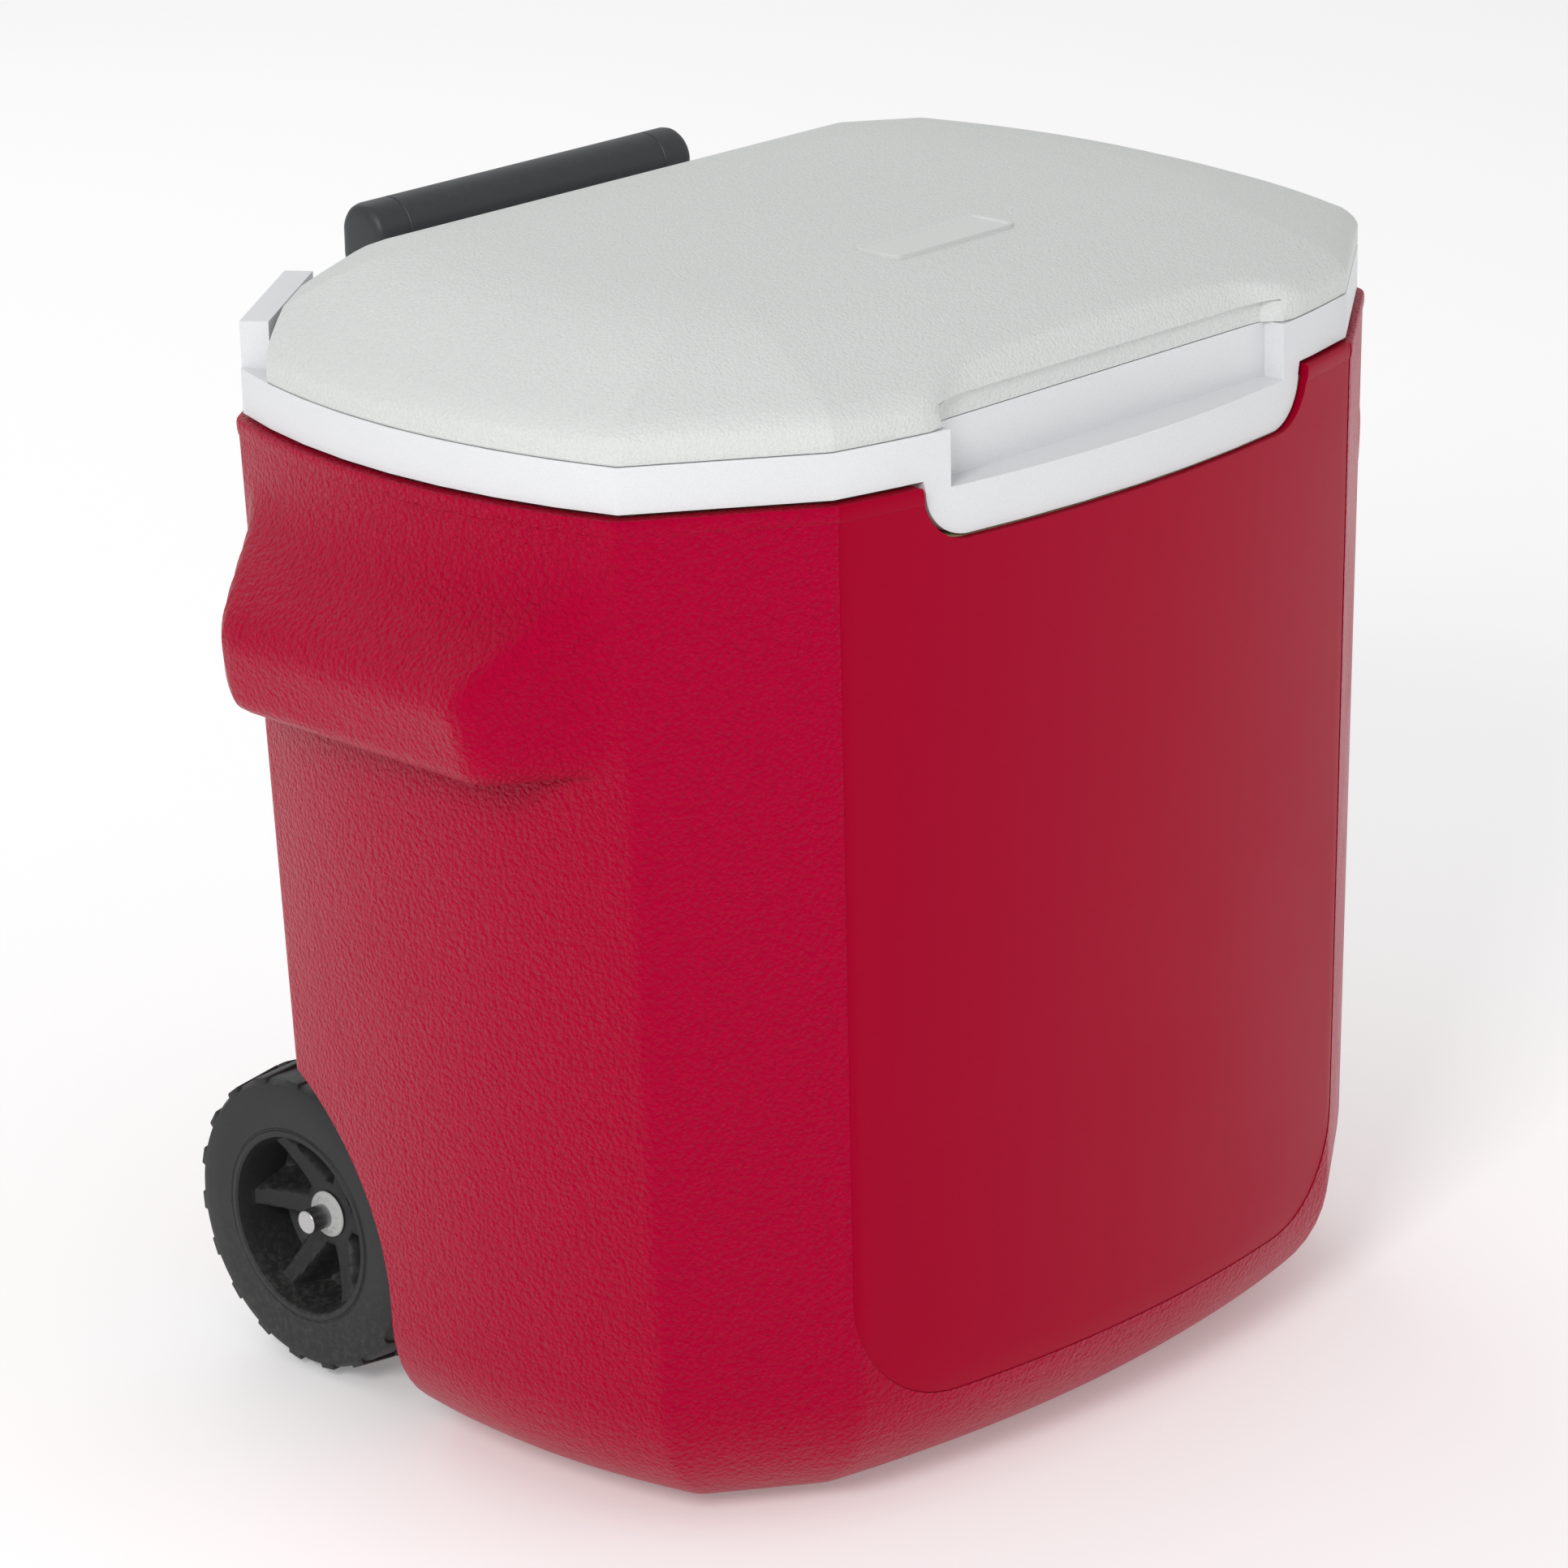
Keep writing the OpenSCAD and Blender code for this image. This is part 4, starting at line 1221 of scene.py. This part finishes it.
@dataclass
class Wheel:
    """One moulded wheel: lugged tyre, deep dish and six swept spokes."""
    side: int
    radius: float = 51.0
    width: float = 34.0
    dish_r: float = 29.6
    hub_r: float = 10.5
    bore_r: float = 4.1
    hub_in: float = 13.5
    dish_depth: float = 25.0
    lug_h: float = 2.0
    lugs: int = 19
    spokes: int = 6
    around: int = 144

    def __post_init__(self) -> None:
        """Finds the wheel in the frame."""
        self.node = "wheel_right" if self.side > 0 else "wheel_left"
        low, high = box_mm(self.node)
        self.centre = axle_centre(self.node)
        self.face_x = high.x if self.side > 0 else -low.x

    def _dish(self, r: float, angle: float) -> float:
        """Finds the depth of the dish below the wheel's face, with the spokes standing in it.

        Args:
            r: distance from the axle.
            angle: angle round the axle, in radians.

        Returns:
            The depth.
        """
        share = (r - self.hub_r) / (self.dish_r - self.hub_r)
        floor = self.dish_depth - 6.0 * smooth_step(0.55, 1.0, share)
        ridge = lerp(self.hub_in, self.hub_in - 7.5, share ** 1.4)
        step = 2 * math.pi / self.spokes
        off = abs((angle + step / 2) % step - step / 2) * r
        half = lerp(3.2, 2.2, share)
        rise = smooth_step(half + 5.5, half, off)
        if share < 0.22:
            rise = max(rise, smooth_step(0.22, 0.0, share))
        return lerp(floor, ridge, rise)

    def _ring(self, r: float, depth: float | Callable[[float], float]) -> Ring:
        """Makes a ring round the axle.

        Args:
            r: distance from the axle.
            depth: depth below the wheel's face, or a function of the angle that gives it.

        Returns:
            The ring's points.
        """
        points = []
        for i in range(self.around):
            angle = 2 * math.pi * i / self.around
            down = depth(angle) if callable(depth) else depth
            points.append(Vector((self.face_x - down, self.centre.y + r * math.cos(angle),
                                  self.centre.z + r * math.sin(angle))))
        return points

    def disc(self) -> BMesh:
        """Turned body of the wheel, with spokes and windows."""
        w, tread = self.width, self.radius - self.lug_h
        rings = [self._ring(self.bore_r, w), self._ring(self.hub_r, w),
                 self._ring(self.hub_r + 0.3, w - 1.0), self._ring(self.hub_r + 0.6, w - 4.5),
                 self._ring(self.dish_r - 4.0, w - 4.5), self._ring(self.dish_r - 3.4, w - 1.0),
                 self._ring(self.dish_r - 2.8, w - 0.2)]
        for r, d in ((tread - 5.5, w), (tread - 2.2, w - 0.7), (tread - 0.5, w - 2.8),
                     (tread, w - 5.5), (tread + 0.35, w / 2), (tread, 5.5), (tread - 0.4, 3.0),
                     (tread - 1.8, 1.2), (tread - 4.5, 0.45), (self.dish_r + 9.0, 0.35),
                     (self.dish_r + 3.4, 0.35), (self.dish_r + 3.0, 0.7),
                     (self.dish_r + 2.6, 0.7), (self.dish_r + 2.2, 0.1), (self.dish_r + 0.9, 0.0),
                     (self.dish_r + 0.2, 0.5), (self.dish_r - 0.2, 2.0),
                     (self.dish_r - 0.6, 4.5)):
            rings.append(self._ring(r, d))
        count = 11
        for i in range(count + 1):
            share = 1 - i / count
            r = lerp(self.hub_r + 0.5, self.dish_r - 1.2, share)
            rings.append(self._ring(r, lambda a, r=r: self._dish(r, a)))
        rings += [self._ring(self.hub_r - 0.4, self.hub_in + 0.1),
                  self._ring(self.hub_r - 2.0, self.hub_in), self._ring(self.bore_r, self.hub_in)]
        bm = loft(rings, closed=True)
        step = 2 * math.pi / self.spokes
        for i in range(self.spokes):
            bm = combine(bm, self._window((i + 0.5) * step), Cut.AWAY)
        return bm

    def _window(self, angle: float) -> BMesh:
        """Makes the teardrop cutter through the floor between two spokes.

        Args:
            angle: angle of the window round the axle, in radians.

        Returns:
            A closed mesh in millimetres.
        """
        bm = bmesh.new()
        bmesh.ops.create_cone(bm, cap_ends=True, segments=24, radius1=4.6, radius2=4.6, depth=24.0)
        for vert in bm.verts:
            if vert.co.x < 0:
                vert.co.x *= 1.5
                vert.co.y *= 1.0 - 0.35 * min(-vert.co.x / 7.0, 1.0)
        bmesh.ops.translate(bm, verts=bm.verts, vec=(21.2, 0.0, 0.0))
        bmesh.ops.rotate(bm, verts=bm.verts, matrix=Matrix.Rotation(-angle, 3, "Z"))
        bmesh.ops.rotate(bm, verts=bm.verts, matrix=Matrix.Rotation(math.radians(90), 3, "Y"))
        bmesh.ops.translate(bm, verts=bm.verts,
                            vec=(self.face_x - self.dish_depth - 2, self.centre.y, self.centre.z))
        bmesh.ops.recalc_face_normals(bm, faces=bm.faces)
        return bm

    def lug(self, index: int, outer: bool) -> BMesh:
        """Makes one skewed tread lug that wraps over the tyre's shoulder.

        Args:
            index: which lug, counted round the wheel.
            outer: whether it is on the side that faces out.

        Returns:
            A closed mesh in millimetres.
        """
        tread = self.radius - self.lug_h
        near, far = (0.9, self.width / 2 + 1.5) if outer else (self.width / 2 - 1.5,
                                                               self.width - 0.9)
        bm = block(Vector((near, -3.1, tread - 1.4)), Vector((far, 3.1, self.radius - 0.05)))
        shoulder = near if outer else far
        for vert in bm.verts:
            high = vert.co.z > tread
            if abs(vert.co.x - shoulder) < 0.1:
                vert.co.z -= 1.7 if high else 3.2
                vert.co.y += 1.5
                if high:
                    vert.co.x += 0.8 if outer else -0.8
            else:
                vert.co.y = vert.co.y * 0.82 - 2.4
        bmesh.ops.bevel(bm, geom=list(bm.edges), offset=0.45, segments=2, profile=0.5,
                        affect="EDGES", material=-1)
        for vert in bm.verts:
            x, y, z = vert.co
            vert.co = Vector((self.face_x - x, y, z))
        turn = 2 * math.pi * (index + (0.0 if outer else 0.5)) / self.lugs
        bmesh.ops.rotate(bm, verts=bm.verts, matrix=Matrix.Rotation(turn, 3, "X"))
        bmesh.ops.translate(bm, verts=bm.verts, vec=self.centre)
        bmesh.ops.recalc_face_normals(bm, faces=bm.faces)
        return bm

    def build(self) -> None:
        """Makes the wheel as one piece."""
        lugs = [self.lug(i, outer) for i in range(self.lugs) for outer in (True, False)]
        whole = merged([self.disc()] + lugs)
        if self.side < 0:
            whole = mirrored(whole)
        body = "wheel_r" if self.side > 0 else "wheel_l"
        finish_piece(whole, f"{self.node}_moulding", WHEEL_BLACK, body, [self.node],
                     edge=Edge(0.3, 2, 40))


@dataclass
class PushCap:
    """Domed cap that grips the axle's end with a ring of pressed flutes."""
    side: int
    flange_r: float = 7.75
    bore_r: float = 4.0
    thick: float = 2.1
    flutes: int = 8
    around: int = 96

    def build(self) -> None:
        """Makes the cap."""
        node = "push_nut_right" if self.side > 0 else "push_nut_left"
        low, high = box_mm(node)
        foot = low.x if self.side > 0 else -high.x
        rings = []
        for r, up, flute in ((self.bore_r, 0.0, 0.0), (self.flange_r - 0.25, 0.0, 0.0),
                             (self.flange_r, 0.25, 0.0), (self.flange_r - 0.1, 0.55, 0.0),
                             (self.flange_r - 0.5, 0.72, 0.0), (6.7, 0.85, 0.0), (6.2, 1.05, 0.25),
                             (5.6, 1.45, 0.5), (5.0, 1.85, 0.45), (4.5, 2.05, 0.2),
                             (self.bore_r, self.thick, 0.0)):
            ring = circle_ring(r, foot + up, self.around, axle_centre(node))
            for i, point in enumerate(ring):
                wave = abs(math.sin(self.flutes * math.pi * i / self.around))
                point.x -= flute * (1 - wave) ** 3
            rings.append(ring)
        bm = loft(rings, closed=True)
        if self.side < 0:
            bm = mirrored(bm)
        finish_piece(bm, node + "_cap", NUT_GREY, "tub", [node], shade=Shade.SOFT)


@dataclass
class Grip:
    """Grip bar of the pull handle, with end caps let in and wells for its screws."""
    around: int = 48
    screw_x: float = 50.0
    well_r: float = 4.3
    well_low: float = 350.5
    well_high: float = 359.5
    well_depth: float = 3.0

    def build(self) -> None:
        """Makes the bar from rings along its length."""
        low, high = box_mm("handle_grip")
        middle = (low + high) / 2
        half_l, half_h = (high.x - low.x) / 2, (high.z - low.z) / 2
        r = (high.y - low.y) / 2
        rings = []
        ends = ((half_l, 4.2), (half_l - 0.25, 2.6), (half_l - 0.9, 1.2), (half_l - 2.0, 0.35),
                (half_l - 3.6, 0.0), (half_l - 12.6, 0.0), (half_l - 12.9, 0.35),
                (half_l - 13.3, 0.35), (half_l - 13.6, 0.0), (half_l * 0.5, 0.0))
        stations = [(-x, t) for x, t in ends] + [(0.0, 0.0)] + [(x, t) for x, t in reversed(ends)]
        for x, inset in stations:
            ring = circle_ring(r - inset, x, self.around, middle)
            for point in ring:
                lift = half_h - r
                point.z += lift if point.z > middle.z + 1e-6 else -lift
            rings.append(ring)
        bm = loft(rings)
        for x in (-self.screw_x, self.screw_x):
            left, right = x - self.well_r, x + self.well_r
            hole = prism([(left, self.well_low), (right, self.well_low), (right, self.well_high),
                          (left, self.well_high)], high.y - self.well_depth, high.y + 5.0,
                         self.well_r - 0.1, (0, 1, 2, 3), 6)
            bm = combine(bm, hole, Cut.AWAY)
        finish_piece(bm, "grip_bar", GRIP_BLACK, "handle_upper", ["handle_grip"],
                     edge=Edge(0.3, 2, 40))


# ---- studio ----

@dataclass
class Studio:
    """Camera, pale floor and soft lights."""
    target: tuple[float, float, float] = (-0.04187, -0.02274, 0.20175)
    azimuth_deg: float = 45.217
    elevation_deg: float = 19.60
    roll_deg: float = -1.225
    distance: float = 1.8438
    lens_mm: float = 135.41
    daylight: float = 0.6
    floor_half: float = 12.0
    floor_grey: float = 0.93
    floor_glow: float = 0.2

    def camera(self) -> None:
        """Long-lens camera left of the front."""
        data = bpy.data.cameras.new("camera")
        data.lens = self.lens_mm
        data.sensor_width = 36.0
        data.clip_end = 50.0
        camera = bpy.data.objects.new("camera", data)
        bpy.context.scene.collection.objects.link(camera)
        azimuth, elevation = math.radians(self.azimuth_deg), math.radians(self.elevation_deg)
        back = Vector((-math.sin(azimuth) * math.cos(elevation),
                       -math.cos(azimuth) * math.cos(elevation), math.sin(elevation)))
        level = back.to_track_quat("Z", "Y").to_matrix().to_4x4()
        turn = Matrix.Rotation(math.radians(self.roll_deg), 4, "Z")
        place = Vector(self.target) + back * self.distance
        camera.matrix_world = Matrix.Translation(place) @ level @ turn
        bpy.context.scene.camera = camera

    def area(self, name: str, place: Vector, size: float, power: float, aim: Vector) -> None:
        """Adds a soft square light.

        Args:
            name: name of the light.
            place: where it stands, in metres.
            size: length of its sides.
            power: its power in watts.
            aim: the point that it faces.
        """
        data = bpy.data.lights.new(name, "AREA")
        data.energy = power
        data.size = size
        light = bpy.data.objects.new(name, data)
        bpy.context.scene.collection.objects.link(light)
        turn = (place - aim).to_track_quat("Z", "Y").to_matrix().to_4x4()
        light.matrix_world = Matrix.Translation(place) @ turn

    def lights(self) -> None:
        """Big key from the upper left, weaker fill from the right, and a light from behind."""
        middle = Vector((0.0, 0.0, 0.18))
        self.area("key", Vector((-1.9, -0.9, 1.5)), 0.7, 24.0, middle)
        self.area("fill", Vector((1.0, -2.2, 1.0)), 1.6, 5.0, middle)
        self.area("back", Vector((0.6, 1.8, 1.9)), 1.5, 9.0, middle)

    def surroundings(self) -> None:
        """White surroundings and the floor."""
        world = bpy.data.worlds.new("studio")
        bpy.context.scene.world = world
        world.use_nodes = True
        background = world.node_tree.nodes["Background"]
        background.inputs["Color"].default_value = (1.0, 1.0, 1.0, 1.0)
        background.inputs["Strength"].default_value = self.daylight
        bm = bmesh.new()
        bmesh.ops.create_grid(bm, x_segments=1, y_segments=1, size=self.floor_half)
        floor = as_object(bm, "floor")
        material = bpy.data.materials.new("Pale floor")
        material.use_nodes = True
        shader = material.node_tree.nodes["Principled BSDF"]
        shader.inputs["Base Color"].default_value = (*(self.floor_grey,) * 3, 1.0)
        shader.inputs["Roughness"].default_value = 0.9
        shader.inputs["Emission Color"].default_value = (1.0, 1.0, 1.0, 1.0)
        shader.inputs["Emission Strength"].default_value = self.floor_glow
        floor.data.materials.append(material)

    def build(self) -> None:
        """Sets the whole studio."""
        bpy.context.scene.view_settings.view_transform = "Standard"
        self.camera()
        self.lights()
        self.surroundings()


def main() -> None:
    """Builds the studio and every piece of the cooler."""
    logging.basicConfig(level=logging.INFO, format="%(message)s")
    Studio().build()
    plan = TubPlan()
    Tub(plan, SideHandles(), WheelRoom(), Tab()).build()
    Lid(plan, Scoop()).build()
    for side in (-1, 1):
        Wheel(side).build()
        PushCap(side).build()
    Grip().build()
    Hardware().build()


if __name__ == "__main__":
    main()
